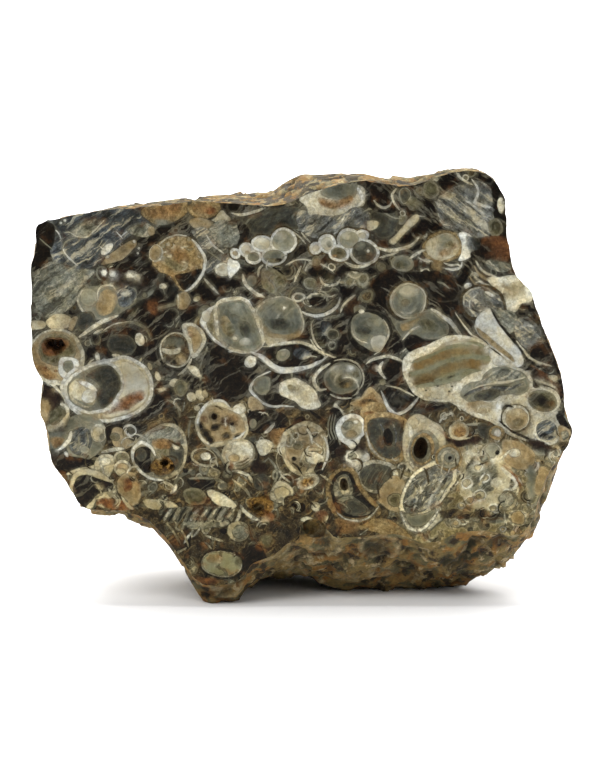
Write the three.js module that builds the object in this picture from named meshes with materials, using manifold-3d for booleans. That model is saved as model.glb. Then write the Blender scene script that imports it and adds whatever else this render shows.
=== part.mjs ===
// A hand specimen of turritella agate: one natural lump of fossil snail rock, sawn flat on one
// side. The sawn side is polished, and everything else is the rough rind, with broken ledges,
// pits where shells fell out, and spired snail shells standing out in relief.
//
// Millimetres, +Z up. The polished face looks along -Y, and +X is to its right. The stone
// stands on the low points of its rind, worn to small flats.

import * as THREE from 'three';
import { ImprovedNoise } from 'three/addons/math/ImprovedNoise.js';
import { mergeVertices } from 'three/addons/utils/BufferGeometryUtils.js';
import Module from 'manifold-3d';

const wasm = await Module();
wasm.setup();

// ---- driving dimensions -------------------------------------------------------------------

const DEPTH = 40;            // from the polished face to the furthest point of the back
const GIRTH_DEPTH = 15;      // how far behind the face the lump reaches its full girth
const GIRTH_EASE = 0.55;     // under 1, so the rind leaves the face edge nearly square
const MIDDLE = new THREE.Vector3(0, 18, 37);   // the lump's heart, which the outlines turn about
const HALF_EXTENTS = new THREE.Vector3(45, 22, 37);

const RING_COUNT = 23;       // rings of the lump between the face and the back
const RING_CROWDING = 1.3;   // over 1 sets the rings closer together towards the face
const BACK_ROUNDING = 2.4;   // how square the back edge is: 2 is a ball, more is squarer
const BACK_FLATNESS = { top: 4.2, bottom: 6 };

// The edge of the polished face, as [x, z], clockwise from its upper left corner.
const FACE_EDGE = [
  [-44.7, 64.8], [-42.5, 66.0], [-40.2, 66.5], [-33.5, 67.6], [-26.8, 68.0], [-21.8, 68.7],
  [-18.5, 69.2], [-11.8, 68.7], [-6.0, 67.9], [-1.8, 68.2], [-0.2, 69.2], [3.2, 70.9],
  [7.3, 71.9], [10.7, 72.4], [14.8, 71.7], [18.5, 71.4], [21.5, 72.8], [24.8, 73.8],
  [27.8, 74.2], [30.5, 73.6], [32.3, 71.9], [33.5, 69.5], [33.8, 62.8], [34.8, 57.3],
  [36.4, 55.1], [38.2, 54.0], [39.0, 50.6], [41.3, 43.8], [42.7, 40.4], [43.7, 37.1],
  [43.5, 33.0], [45.3, 30.0], [44.2, 27.4], [41.8, 24.9], [40.0, 22.7], [39.3, 20.1],
  [38.7, 17.6], [37.8, 15.1], [36.2, 13.0], [33.2, 13.0], [29.8, 14.4], [26.8, 14.7],
  [24.0, 14.6], [21.2, 13.4], [18.5, 12.9], [16.2, 14.2], [14.0, 15.2], [11.2, 14.9],
  [8.2, 14.2], [4.8, 14.0], [0.7, 13.9], [-2.7, 12.7], [-4.3, 10.5], [-6.5, 9.5],
  [-8.5, 9.0], [-9.2, 7.3], [-10.5, 5.8], [-13.2, 4.9], [-16.2, 4.9], [-18.2, 5.6],
  [-19.8, 8.1], [-21.5, 10.8], [-23.5, 13.2], [-25.5, 15.4], [-27.5, 16.2], [-30.2, 16.8],
  [-33.5, 17.1], [-36.4, 17.2], [-37.8, 18.2], [-38.5, 20.3], [-39.5, 22.3], [-41.4, 24.0],
  [-42.2, 25.8], [-42.5, 30.3], [-43.7, 32.6], [-44.0, 34.6], [-43.2, 36.8], [-43.0, 38.6],
  [-44.0, 39.9], [-44.9, 42.1], [-45.1, 46.0], [-45.2, 48.5], [-45.2, 57.9], [-44.3, 60.1],
  [-44.5, 62.4],
];

// The outline of the rind at its full girth, as [x, z], clockwise from the upper left.
const GIRTH_EDGE = [
  [-44.6, 61.0], [-42.6, 63.6], [-34.8, 65.3], [-26.6, 66.0], [-20.5, 66.9], [-14.4, 67.5],
  [-8.3, 68.0], [-5.3, 68.5], [-2.7, 69.8], [-0.2, 71.1], [5.9, 71.3], [8.3, 71.7],
  [12.0, 71.2], [14.0, 70.6], [20.1, 71.3], [26.2, 72.5], [28.6, 72.2], [30.7, 71.4],
  [32.7, 69.0], [33.3, 64.3], [34.2, 58.3], [35.0, 55.0], [37.2, 52.2], [39.2, 48.0],
  [41.5, 42.0], [43.8, 35.5], [43.8, 31.5], [44.6, 27.4], [43.4, 23.2], [42.4, 19.0],
  [41.6, 14.8], [40.4, 10.2], [38.4, 5.6], [35.9, 3.6], [33.2, 2.2], [27.6, 0.8],
  [24.0, 0.6], [16.7, 0.8], [10.0, 0.8], [5.0, 2.0], [0.0, 2.2], [-6.0, 2.4],
  [-10.0, 1.4], [-14.0, 0.4], [-17.6, 1.4], [-19.2, 3.8], [-22.2, 8.0], [-26.3, 12.0],
  [-30.3, 14.0], [-37.5, 14.9], [-38.6, 17.6], [-39.9, 19.6], [-41.9, 21.6], [-42.6, 23.7],
  [-42.7, 28.4], [-43.9, 31.0], [-43.2, 34.9], [-44.2, 38.0], [-45.2, 42.0], [-45.4, 50.4],
  [-45.1, 56.6],
];

// The low points of the rind, where the stone stands, and how far each reaches down.
const FEET = [
  { x: -13.6, depth: 5.5, drop: 4.4, radius: 5 },
  { x: 10, depth: 16, drop: 2.0, radius: 6 },
  { x: 22.5, depth: 21, drop: 2.2, radius: 6 },
  { x: -14, depth: 29, drop: 5.0, radius: 8 },
];

const LUMP = { size: 15, height: 2.8 };        // broad swellings of the rind
const KNOB = { size: 6.5, height: 1.6 };       // small knobs on them
const LEDGE = { pitch: 9.5, height: 1.8, dip: 0.22 };   // broken bedding, dipping to the right
const RIND_START = 3;        // the knobs fade out over this last stretch before the face
const SILHOUETTE_SHARE = 0.2;   // how strong the knobs are around the front half
const BACK_FROM = 20;        // how far behind the face the back begins: rounder, with full knobs

// Old breaks that flatten the back: outward direction, and the share of the lump that is left.
const BREAKS = [
  { out: [0.45, 0.8, 0.42], share: 0.9 },
  { out: [-0.62, 0.72, 0.3], share: 0.88 },
  { out: [0.7, 0.62, -0.35], share: 0.88 },
  { out: [-0.5, 0.7, -0.55], share: 0.92 },
  { out: [-0.15, 0.62, 0.78], share: 0.88 },
  { out: [0.08, 0.98, -0.1], share: 0.9 },
];

// Snail shells in relief. around is the angle about the lump, in degrees from +X towards +Z,
// along runs from the face (0) to the back (1), turn is the angle of the spire on the surface.
const RELIEF_SHELLS = [
  { around: 32, along: 0.67, turn: 25, length: 23, radius: 4.6 },
  { around: 148, along: 0.71, turn: 62, length: 27, radius: 5.0 },
  { around: 258, along: 0.73, turn: 8, length: 21, radius: 4.4 },
  { around: 336, along: 0.64, turn: 75, length: 18, radius: 4.0 },
  { around: 190, along: 0.66, turn: 105, length: 19, radius: 4.0 },
  { around: 96, along: 0.54, turn: 20, length: 18, radius: 3.8 },
];
const SHELL_WHORLS = 6;
const SHELL_TIP = 0.16;      // the tip's radius as a share of the mouth's
const SHELL_SUTURE = 0.2;    // how deep the groove between two whorls is
const SHELL_SINK = 0.42;     // how deep the shell's axis lies in the rock, as a share of its radius
const SHELL_DIP = 7;         // degrees that the spire points into the rock, which curves away
const SHELL_SIDES = 12;
const STATIONS_PER_WHORL = 3;

// Pits where shells have dropped out of the rind, placed like the shells.
const RIND_PITS = [
  { around: 4, along: 0.80, radius: 4.2 },
  { around: 62, along: 0.62, radius: 3.6 },
  { around: 118, along: 0.64, radius: 3.4 },
  { around: 172, along: 0.72, radius: 4.4 },
  { around: 222, along: 0.66, radius: 3.8 },
  { around: 300, along: 0.74, radius: 4.0 },
];
const RIND_PIT_DEPTH = 0.55;   // share of its radius that a pit goes in

// Rounded lumps of shelly rock that bulge out under the face, and one on the left foot.
const BROW_LUMPS = [
  { x: 14.3, z: 11.5, depth: 2.5, radius: 3.6, height: 2.2 },
  { x: 7.4, z: 7.5, depth: 5.5, radius: 3.8, height: 1.8 },
  { x: 23.6, z: 8.5, depth: 5.0, radius: 4.2, height: 1.9 },
  { x: 32.4, z: 10.0, depth: 4.0, radius: 3.4, height: 1.2 },
  { x: -13.2, z: 3.0, depth: 2.5, radius: 3.0, height: 0.8 },
];

// Open hollows in the polished face: half width, half height and depth.
const FACE_PITS = [
  { x: -0.5, z: 17.1, half: [2.3, 1.6], depth: 2.2 },
  { x: 7.2, z: 21.0, half: [0.8, 1.5], depth: 1.6 },
  { x: 20.0, z: 27.0, half: [1.6, 3.0], depth: 2.4 },
  { x: -40.8, z: 44.6, half: [1.5, 1.2], depth: 1.6 },
  { x: -22.6, z: 24.3, half: [1.4, 1.0], depth: 1.6 },
  { x: 1.6, z: 13.6, half: [2.4, 1.6], depth: 4.0 },
];

const CUTTER = 200;          // a block larger than the stone, for the saw and the floor
const EDGE_SLACK = 1e-9;     // lets a ray meet an outline exactly at a corner
const PIT_SEGMENTS = [10, 7];

// ---- small helpers --------------------------------------------------------------------------

const noise = new ImprovedNoise();

function solidOf(geometry) {
  const bare = geometry.clone();
  bare.deleteAttribute('normal');
  bare.deleteAttribute('uv');
  const merged = mergeVertices(bare, 1e-4);
  return new wasm.Manifold(new wasm.Mesh({
    numProp: 3,
    vertProperties: new Float32Array(merged.attributes.position.array),
    triVerts: new Uint32Array(merged.index.array),
  }));
}

function geometryOf(solid) {
  const mesh = solid.getMesh();
  const geometry = new THREE.BufferGeometry();
  geometry.setAttribute('position', new THREE.BufferAttribute(mesh.vertProperties, mesh.numProp));
  geometry.setIndex(new THREE.BufferAttribute(mesh.triVerts, 1));
  geometry.computeVertexNormals();
  return geometry;
}

// How far a ray from the lump's middle, at this angle, runs before it meets an outline.
function reachOf(outline, angle) {
  const dx = Math.cos(angle);
  const dz = Math.sin(angle);
  for (let i = 0; i < outline.length; i += 1) {
    const [ax, az] = outline[i];
    const [bx, bz] = outline[(i + 1) % outline.length];
    const px = ax - MIDDLE.x;
    const pz = az - MIDDLE.z;
    const ex = bx - ax;
    const ez = bz - az;
    const cross = dx * ez - dz * ex;
    const along = (px * dz - pz * dx) / cross;
    const reach = (px * ez - pz * ex) / cross;
    if (along > -EDGE_SLACK && along < 1 + EDGE_SLACK && reach > 0) return reach;
  }
  throw new Error('the outline does not go round the middle');
}

// ---- the lump -------------------------------------------------------------------------------

function backClosing(depth, angle) {
  const up = (Math.sin(angle) + 1) / 2;
  const flatness = THREE.MathUtils.lerp(BACK_FLATNESS.bottom, BACK_FLATNESS.top, up);
  return (1 - (depth / DEPTH) ** flatness) ** (1 / BACK_ROUNDING);
}

function footDrop(x, depth) {
  let drop = 0;
  for (const foot of FEET) {
    const far = Math.hypot(x - foot.x, depth - foot.depth) / foot.radius;
    drop = Math.max(drop, foot.drop * Math.exp(-far * far));
  }
  return drop;
}

function ledgeHeight(point) {
  const wander = 2.5 * noise.noise(point.x / 11, point.y / 11, 4.5);
  const bed = (point.z + LEDGE.dip * point.x + wander) / LEDGE.pitch;
  const phase = bed - Math.floor(bed);
  const rise = THREE.MathUtils.smoothstep(phase, 0, 0.2);
  const fall = THREE.MathUtils.smoothstep(phase, 0.55, 1);
  return LEDGE.height * (rise - fall - 0.4);
}

function browHeight(point) {
  let height = 0;
  for (const lump of BROW_LUMPS) {
    const far = Math.hypot(point.x - lump.x, point.y - lump.depth, point.z - lump.z) / lump.radius;
    height = Math.max(height, lump.height * Math.exp(-far * far));
  }
  return height;
}

function roughness(point) {
  const broad = noise.noise(point.x / LUMP.size, point.y / LUMP.size, point.z / LUMP.size);
  const small = noise.noise(point.x / KNOB.size, point.y / KNOB.size, point.z / KNOB.size);
  return LUMP.height * broad + KNOB.height * small + ledgeHeight(point);
}

// The share of the way out from the middle at which the nearest break stops this point.
function breakShare(outward) {
  let share = 1;
  for (const { out, share: left } of BREAKS) {
    const normal = new THREE.Vector3(...out).normalize();
    const reach = left * normal.clone().multiply(HALF_EXTENTS).length();
    share = Math.min(share, reach / Math.max(reach, outward.dot(normal)));
  }
  return share;
}

// A point of the rind: angle about the lump, and along from 0 at the face to 1 at the back.
function rindPoint(angle, along) {
  const depth = DEPTH * Math.sin((along * Math.PI) / 2) ** RING_CROWDING;
  const swell = Math.min(1, depth / GIRTH_DEPTH) ** GIRTH_EASE;
  const face = reachOf(FACE_EDGE, angle);
  const girth = reachOf(GIRTH_EDGE, angle);
  const oval = 1 / Math.hypot(Math.cos(angle) / HALF_EXTENTS.x, Math.sin(angle) / HALF_EXTENTS.z);
  const rounding = THREE.MathUtils.smoothstep(depth, BACK_FROM, DEPTH * 0.9);
  const edge = THREE.MathUtils.lerp(THREE.MathUtils.lerp(face, girth, swell), oval, rounding);
  const reach = edge * backClosing(depth, angle);
  const outward = new THREE.Vector3(
    reach * Math.cos(angle), depth - MIDDLE.y, reach * Math.sin(angle));
  const point = MIDDLE.clone().addScaledVector(outward, breakShare(outward));
  outward.y = Math.max(0, outward.y);
  outward.normalize();
  const awayFromFace = THREE.MathUtils.smoothstep(depth, 0, RIND_START);
  const behind = THREE.MathUtils.smoothstep(depth, BACK_FROM, DEPTH * 0.85);
  const share = THREE.MathUtils.lerp(SILHOUETTE_SHARE, 1, behind);
  const proud = share * roughness(point) + browHeight(point);
  point.addScaledVector(outward, awayFromFace * proud);
  const low = 1 - THREE.MathUtils.smoothstep(point.z, MIDDLE.z / 6, MIDDLE.z / 2);
  point.z -= low * awayFromFace * footDrop(point.x, point.y);
  return point;
}

function lumpGeometry() {
  const angles = FACE_EDGE.map(([x, z]) => Math.atan2(z - MIDDLE.z, x - MIDDLE.x));
  const around = angles.length;
  const positions = [MIDDLE.x, 0, MIDDLE.z];
  for (let ring = 0; ring < RING_COUNT; ring += 1) {
    for (const angle of angles) positions.push(...rindPoint(angle, ring / RING_COUNT).toArray());
  }
  positions.push(...rindPoint(Math.PI / 2, 1).toArray());
  const last = positions.length / 3 - 1;
  const at = (ring, step) => 1 + ring * around + (step % around);
  const triangles = [];
  for (let step = 0; step < around; step += 1) {
    triangles.push(0, at(0, step + 1), at(0, step));
    triangles.push(last, at(RING_COUNT - 1, step), at(RING_COUNT - 1, step + 1));
    for (let ring = 0; ring < RING_COUNT - 1; ring += 1) {
      const [a, b] = [at(ring, step), at(ring, step + 1)];
      const [c, d] = [at(ring + 1, step), at(ring + 1, step + 1)];
      triangles.push(a, b, c, b, d, c);
    }
  }
  const geometry = new THREE.BufferGeometry();
  geometry.setAttribute('position', new THREE.Float32BufferAttribute(positions, 3));
  geometry.setIndex(triangles);
  return geometry;
}

// ---- what is added to it and broken from it ---------------------------------------------------

// A frame on the rind: its point, its outward normal and a direction along the surface.
function rindFrame(aroundDegrees, along) {
  const angle = THREE.MathUtils.degToRad(aroundDegrees);
  const wide = 0.05;
  const point = rindPoint(angle, along);
  const sideways = rindPoint(angle + wide, along).sub(rindPoint(angle - wide, along)).normalize();
  const backwards = rindPoint(angle, along + wide).sub(rindPoint(angle, along - wide)).normalize();
  const normal = new THREE.Vector3().crossVectors(backwards, sideways).normalize();
  if (normal.dot(point.clone().sub(MIDDLE)) < 0) normal.negate();
  return { point, normal, sideways };
}

// A spired shell with its axis along +X, made as a turned profile with one swelling a whorl.
function shellGeometry(length, radius) {
  const profile = [new THREE.Vector2(0, -0.3 * radius), new THREE.Vector2(0.65 * radius, -0.2 * radius)];
  const stations = SHELL_WHORLS * STATIONS_PER_WHORL;
  for (let i = 0; i <= stations; i += 1) {
    const t = i / stations;
    const taper = THREE.MathUtils.lerp(1, SHELL_TIP, t);
    const bulge = Math.abs(Math.sin(Math.PI * SHELL_WHORLS * t + Math.PI / 6));
    profile.push(new THREE.Vector2(radius * taper * (1 - SHELL_SUTURE * (1 - bulge)), length * t));
  }
  profile.push(new THREE.Vector2(0, length * 1.04));
  const shell = new THREE.LatheGeometry(profile, SHELL_SIDES);
  shell.translate(0, -length / 2, 0);
  shell.rotateZ(-Math.PI / 2);
  return shell;
}

function reliefShell({ around, along, turn, length, radius }) {
  const { point, normal, sideways } = rindFrame(around, along);
  const spire = sideways.clone().applyAxisAngle(normal, THREE.MathUtils.degToRad(turn));
  const across = new THREE.Vector3().crossVectors(normal, spire);
  const dip = THREE.MathUtils.degToRad(SHELL_DIP);
  spire.applyAxisAngle(across, dip);
  const up = normal.clone().applyAxisAngle(across, dip);
  const place = new THREE.Matrix4().makeBasis(spire, across, up);
  place.setPosition(point.addScaledVector(normal, -SHELL_SINK * radius));
  return solidOf(shellGeometry(length, radius).applyMatrix4(place));
}

function rindPit({ around, along, radius }) {
  const { point, normal } = rindFrame(around, along);
  const pit = new THREE.SphereGeometry(radius, ...PIT_SEGMENTS);
  point.addScaledVector(normal, radius * (1 - RIND_PIT_DEPTH));
  return solidOf(pit.translate(...point.toArray()));
}

function facePit({ x, z, half, depth }) {
  const pit = new THREE.SphereGeometry(1, ...PIT_SEGMENTS);
  return solidOf(pit.scale(half[0], depth, half[1]).translate(x, 0, z));
}

// Everything on the far side of a plane, given by its outward normal and its distance.
function beyond(normal, origin, distance) {
  const block = new THREE.BoxGeometry(CUTTER, CUTTER, CUTTER).translate(0, 0, CUTTER / 2);
  const turn = new THREE.Quaternion().setFromUnitVectors(new THREE.Vector3(0, 0, 1), normal);
  block.applyQuaternion(turn);
  const start = origin.clone().addScaledVector(normal, distance);
  return solidOf(block.translate(...start.toArray()));
}

// ---- the stone --------------------------------------------------------------------------------

function stoneSolid() {
  const origin = new THREE.Vector3();
  let stone = solidOf(lumpGeometry());
  for (const shell of RELIEF_SHELLS) stone = stone.add(reliefShell(shell));
  for (const pit of RIND_PITS) stone = stone.subtract(rindPit(pit));
  for (const pit of FACE_PITS) stone = stone.subtract(facePit(pit));
  stone = stone.subtract(beyond(new THREE.Vector3(0, -1, 0), origin, 0));
  return stone.subtract(beyond(new THREE.Vector3(0, 0, -1), origin, 0));
}

// The origin is the middle of the stone's footprint box, at the height it stands on.
function standOnOrigin(geometry) {
  geometry.computeBoundingBox();
  const { min, max } = geometry.boundingBox;
  return geometry.translate(-(min.x + max.x) / 2, -(min.y + max.y) / 2, -min.z);
}

const rock = new THREE.MeshStandardMaterial({ color: 0x6e6453, roughness: 0.45, metalness: 0 });

const stone = new THREE.Mesh(standOnOrigin(geometryOf(stoneSolid())), rock);
stone.name = 'stone';

const group = new THREE.Group();
group.add(stone);

export default group;
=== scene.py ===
# %% [markdown]
# # Turritella agate
#
# A hand specimen of snail rock: fossil shells of a lake snail, packed together and turned to
# chalcedony. One side is sawn and polished and shows the shells cut through at every angle.
# The rest is the rough rind of the lump. The solid model already has the true size, so the
# lesson starts by loading it and noting its box, which the finished stone must not outgrow.

# %% Load the solid model
import math
import random
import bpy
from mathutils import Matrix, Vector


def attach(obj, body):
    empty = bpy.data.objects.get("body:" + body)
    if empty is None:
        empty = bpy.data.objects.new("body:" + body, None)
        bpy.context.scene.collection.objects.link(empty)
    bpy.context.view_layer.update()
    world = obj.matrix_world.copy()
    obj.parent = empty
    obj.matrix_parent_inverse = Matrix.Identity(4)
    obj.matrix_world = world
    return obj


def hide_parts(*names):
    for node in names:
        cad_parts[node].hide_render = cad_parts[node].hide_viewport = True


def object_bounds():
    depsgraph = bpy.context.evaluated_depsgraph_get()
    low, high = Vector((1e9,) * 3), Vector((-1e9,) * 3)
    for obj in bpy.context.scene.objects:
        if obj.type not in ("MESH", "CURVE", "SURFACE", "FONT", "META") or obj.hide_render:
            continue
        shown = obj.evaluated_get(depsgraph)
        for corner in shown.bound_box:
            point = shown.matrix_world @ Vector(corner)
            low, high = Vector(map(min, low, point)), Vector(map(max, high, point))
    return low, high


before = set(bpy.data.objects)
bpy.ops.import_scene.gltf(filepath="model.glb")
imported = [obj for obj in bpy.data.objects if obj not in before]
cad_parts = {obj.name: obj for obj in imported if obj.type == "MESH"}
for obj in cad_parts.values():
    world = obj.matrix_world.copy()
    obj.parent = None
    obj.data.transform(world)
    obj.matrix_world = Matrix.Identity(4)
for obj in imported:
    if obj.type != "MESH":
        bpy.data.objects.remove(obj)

from types import SimpleNamespace

import bmesh
import bpy
import numpy as np
from mathutils import Vector, geometry, kdtree, noise

MM = 0.001
cad_low, cad_high = [list(map(float, corner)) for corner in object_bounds()]
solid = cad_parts["stone"].data
print("solid box in mm:", [round((b - a) / MM, 2) for a, b in zip(cad_low, cad_high)])

# %% [markdown]
# ## The rough block
#
# The rind has detail far finer than the solid's facets. It could be sculpted by hand, or made
# with a displacement modifier, but vertex moves in code let every chip and broken shell also
# leave a value behind for the material to read. So the solid is first turned into an even
# skin of small quads with the Remesh modifier. Its sawn side is pushed forward before that,
# because the saw cut comes later, through finished rind, as it does on the real stone.

# %% Remesh the solid into an even skin
SKIN_PITCH = 0.78 * MM
SAW_ALLOWANCE = 2.0 * MM
FACE_Y = cad_low[1]


def baked_copy(obj):
    depsgraph = bpy.context.evaluated_depsgraph_get()
    mesh = bpy.data.meshes.new_from_object(obj.evaluated_get(depsgraph))
    bpy.data.objects.remove(obj, do_unlink=True)
    return mesh


def rough_skin():
    block = solid.copy()
    block.materials.clear()
    for vertex in block.vertices:
        if vertex.co.y < FACE_Y + 0.01 * MM:
            vertex.co.y -= SAW_ALLOWANCE
    helper = bpy.data.objects.new("skin_helper", block)
    bpy.context.scene.collection.objects.link(helper)
    remesh = helper.modifiers.new("even_skin", "REMESH")
    remesh.mode = "VOXEL"
    remesh.voxel_size = SKIN_PITCH
    return baked_copy(helper)


skin = rough_skin()
print("even skin:", len(skin.vertices), "vertices")

# %% [markdown]
# ## Chips, broken shells and grain
#
# Snail rock breaks along its shells. Its rind is a jumble of small tilted chips, with rings
# and ribs where shells stick out, and hollows where they fell out. Each chip here is a
# scattered centre with a random tilt, and a vertex follows the chip it is nearest to, which
# gives flat facets with steps between them. Rings and hollows are added round their own
# centres, and noise adds the grain. Two values are kept for the material: how high a point
# stands, and how much shell it is.

# %% Displace the skin
SKIN_SEED = 41
CHIP_COUNT = 2600
CHIP_TILT = 0.24
CHIP_STEP = 0.2 * MM
RING_COUNT = 330
RING_RADIUS = (0.9 * MM, 3.1 * MM)
RING_HEIGHT = 0.42 * MM
RING_WIDTH = 0.34 * MM
HEIGHT_SPREAD = (-0.4, 1.0)     # some rings are worn away into grooves
WHORL_PLACE = 0.45              # an inner whorl, as a share of the ring's radius
WHORL_SHARE = 0.6
BOWL_SHARE = 0.7                # how deep a ring's middle is, in ring heights
GRAIN_HEIGHT = 0.2 * MM
GRAIN_SIZE = 1.5 * MM
SWELL_HEIGHT = 0.55 * MM
SWELL_SIZE = 5.0 * MM
MOVE_LIMITS = (-1.4 * MM, 0.9 * MM)
CALM_DEPTH = 1.8 * MM           # the rind is calm this close to the saw cut
CALM_SHARE = 0.1
SIDE_SINK = 0.15 * MM           # the sides keep inside the solid's outline
SIDE_LIMIT = 0.22 * MM
FOOT_SLOPE = -0.75              # the underside and the back may stand out further
BACK_SLOPE = 0.5


def scatter(points, count, rng):
    picks = rng.choice(len(points), count, replace=False)
    tree = kdtree.KDTree(count)
    for slot, pick in enumerate(picks):
        tree.insert(points[pick], slot)
    tree.balance()
    return points[picks], tree


def chip_moves(points, rng):
    centres, tree = scatter(points, CHIP_COUNT, rng)
    tilts = rng.normal(0, CHIP_TILT, (CHIP_COUNT, 3))
    steps = rng.normal(0, CHIP_STEP, CHIP_COUNT)
    nearest = np.array([tree.find(p)[1] for p in points])
    return np.einsum("ij,ij->i", tilts[nearest], points - centres[nearest]) + steps[nearest]


def ring_moves(points, rng):
    centres, tree = scatter(points, RING_COUNT, rng)
    radii = rng.uniform(*RING_RADIUS, RING_COUNT)
    heights = rng.uniform(*HEIGHT_SPREAD, RING_COUNT) * RING_HEIGHT
    moves = np.zeros(len(points))
    shell = np.zeros(len(points))
    for row, p in enumerate(points):
        _, slot, distance = tree.find(p)
        radius = radii[slot]
        if distance > radius + 3 * RING_WIDTH:
            continue
        rim = math.exp(-((distance - radius) / RING_WIDTH) ** 2)
        whorl = WHORL_SHARE * math.exp(-((distance - WHORL_PLACE * radius) / (0.7 * RING_WIDTH)) ** 2)
        bowl = max(0.0, 1 - (distance / radius) ** 2)
        moves[row] = heights[slot] * (rim + whorl) - BOWL_SHARE * RING_HEIGHT * bowl
        shell[row] = max(rim, whorl) * (heights[slot] > 0)
    return moves, shell


def noise_moves(points, size, octaves):
    values = [noise.fractal(Vector(p / size), 0.9, 2.1, octaves) for p in points]
    return np.array(values)


def displace_skin(mesh):
    rng = np.random.default_rng(SKIN_SEED)
    count = len(mesh.vertices)
    points = np.empty(count * 3)
    normals = np.empty(count * 3)
    mesh.vertices.foreach_get("co", points)
    mesh.vertices.foreach_get("normal", normals)
    points = points.reshape(-1, 3)
    normals = normals.reshape(-1, 3)
    rings, shell = ring_moves(points, rng)
    moves = chip_moves(points, rng) + rings
    moves += GRAIN_HEIGHT * noise_moves(points, GRAIN_SIZE, 3)
    moves += SWELL_HEIGHT * noise_moves(points, SWELL_SIZE, 2)
    depth = (points[:, 1] - FACE_Y) / CALM_DEPTH
    moves *= CALM_SHARE + (1 - CALM_SHARE) * np.clip(depth, 0, 1)
    sides = (normals[:, 1] < BACK_SLOPE) & (normals[:, 2] > FOOT_SLOPE)
    sunk = np.minimum(moves, SIDE_LIMIT) - SIDE_SINK * np.clip(depth, 0, 1)
    moves = np.where(sides & (depth > 0), sunk, moves)
    moves = np.clip(moves, *MOVE_LIMITS)
    points = points + normals * moves[:, None]
    keep_in = [np.array(cad_low), np.array(cad_high)]
    keep_in[0][1] -= 2 * SAW_ALLOWANCE
    points = np.clip(points, keep_in[0], keep_in[1])
    mesh.vertices.foreach_set("co", points.ravel())
    # relief later darkens the rind's low points as painted shade, and shell pales the raised crests, partly
    # as a painted highlight.
    for name, values in (("relief", moves / MM), ("shell", shell)):
        layer = mesh.attributes.new(name, "FLOAT", "POINT")
        layer.data.foreach_set("value", values.astype(np.float32))
    return moves


skin_moves = displace_skin(skin)
print("rind relief in mm:", round(skin_moves.min() / MM, 2), "to", round(skin_moves.max() / MM, 2))

# %% [markdown]
# ## The saw cut
#
# A diamond saw takes the front off the lump in one plane. Blender's bisect does the same to
# the mesh, and the open edge that it leaves is the outline of the polished face. Sawing
# after the rind is rough makes that edge wander a little, as it does on the stone. Bits that
# the saw leaves loose, the bottoms of hollows, are dropped, because the face makes its own.

# %% Saw the front off


def edge_loops(bm):
    loops = []
    waiting = {e for e in bm.edges if e.is_boundary}
    while waiting:
        first = waiting.pop()
        loop = [first.verts[0], first.verts[1]]
        while loop[-1] is not loop[0]:
            step = next((e for e in loop[-1].link_edges if e in waiting), None)
            if step is None:
                break
            waiting.discard(step)
            loop.append(step.other_vert(loop[-1]))
        loops.append(loop[:-1])
    return loops


def length_round(loop):
    return sum((a.co - b.co).length for a, b in zip(loop, loop[1:] + loop[:1]))


def connected_to(start):
    found = {start}
    waiting = [start]
    while waiting:
        for edge in waiting.pop().link_edges:
            for vert in edge.verts:
                if vert not in found:
                    found.add(vert)
                    waiting.append(vert)
    return found


def saw_front(mesh):
    bm = bmesh.new()
    bm.from_mesh(mesh)
    everything = bm.verts[:] + bm.edges[:] + bm.faces[:]
    bmesh.ops.bisect_plane(
        bm, geom=everything, dist=1e-7, plane_co=(0, FACE_Y, 0), plane_no=(0, -1, 0), clear_outer=True
    )
    outline = max(edge_loops(bm), key=length_round)
    kept = connected_to(outline[0])
    loose = [v for v in bm.verts if v not in kept]
    bmesh.ops.delete(bm, geom=loose, context="VERTS")
    for vert in outline:
        vert.co.y = FACE_Y
    return bm, outline


stone_bm, outline_verts = saw_front(skin)
print("face edge:", len(outline_verts), "points,", round(length_round(outline_verts) / MM), "mm round")

# %% [markdown]
# ## Squared paper for the face
#
# The face carries hundreds of cut shells, so it is drawn first, like a map, and then turned
# into mesh. The drawing is laid out on squared paper as the face looks from ten degrees
# above: one square is a sixth of a millimetre across, u runs right and v runs down. Drawing
# with image textures would be easier, but outlines stay sharp at any distance, can be pushed
# in where a shell is hollow, and give the material the distance to each shell's wall.

# %% Set up the paper
SQUARE = MM / 6
VIEW_TILT = math.radians(10)
TALL_SQUARE = SQUARE / math.cos(VIEW_TILT)
RIGHT_TIP_U = 573
GROUND_V = 609
face_right = max(v.co.x for v in outline_verts)


def to_paper(co):
    return ((co.x - face_right) / SQUARE + RIGHT_TIP_U, GROUND_V - co.z / TALL_SQUARE)


def to_stone(u, v):
    return Vector(((u - RIGHT_TIP_U) * SQUARE + face_right, FACE_Y, (GROUND_V - v) * TALL_SQUARE))


outline = np.array([to_paper(v.co) for v in outline_verts])
print("face on paper: from", outline.min(axis=0).round(), "to", outline.max(axis=0).round())

# %% [markdown]
# ## Paints
#
# Each cut shell is a wall of one colour round a filling of another, and most fillings are
# mottled. A paint is a pair of colours and a few amounts: how strongly the second colour
# mottles the first and at what size, how many pale specks it has, how strongly it is banded
# along its edge, how much it swirls, and a lining colour just inside the edge. The material
# reads these from the mesh, so one material paints every region.

# %% Mix the paints


def linear(channel):
    c = channel / 255
    return c / 12.92 if c <= 0.04045 else ((c + 0.055) / 1.055) ** 2.4


def rgb(colour):
    return [linear(c) for c in colour]


PAINTS = {}
PALE = (186, 176, 150)
SILK = (164, 157, 136)


def paint(name, base, second, mottle=0.7, size=1.0, specks=0.0, bands=0.0, swirl=0.0,
          grain=0.7, lining=None, lined=0.0, soft=False):
    """Adds the paint, and its soft twin with "~" after its name, which fades out at its edge."""
    values = {
        "base": rgb(base), "second": rgb(second), "mottle": mottle, "size": size,
        "specks": specks, "bands": bands, "swirl": swirl, "grain": grain,
        "lining": rgb(lining or second), "lined": lined, "soft": soft,
    }
    PAINTS[name] = values
    PAINTS[name + "~"] = {**values, "lined": 0.0, "soft": True}


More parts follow.
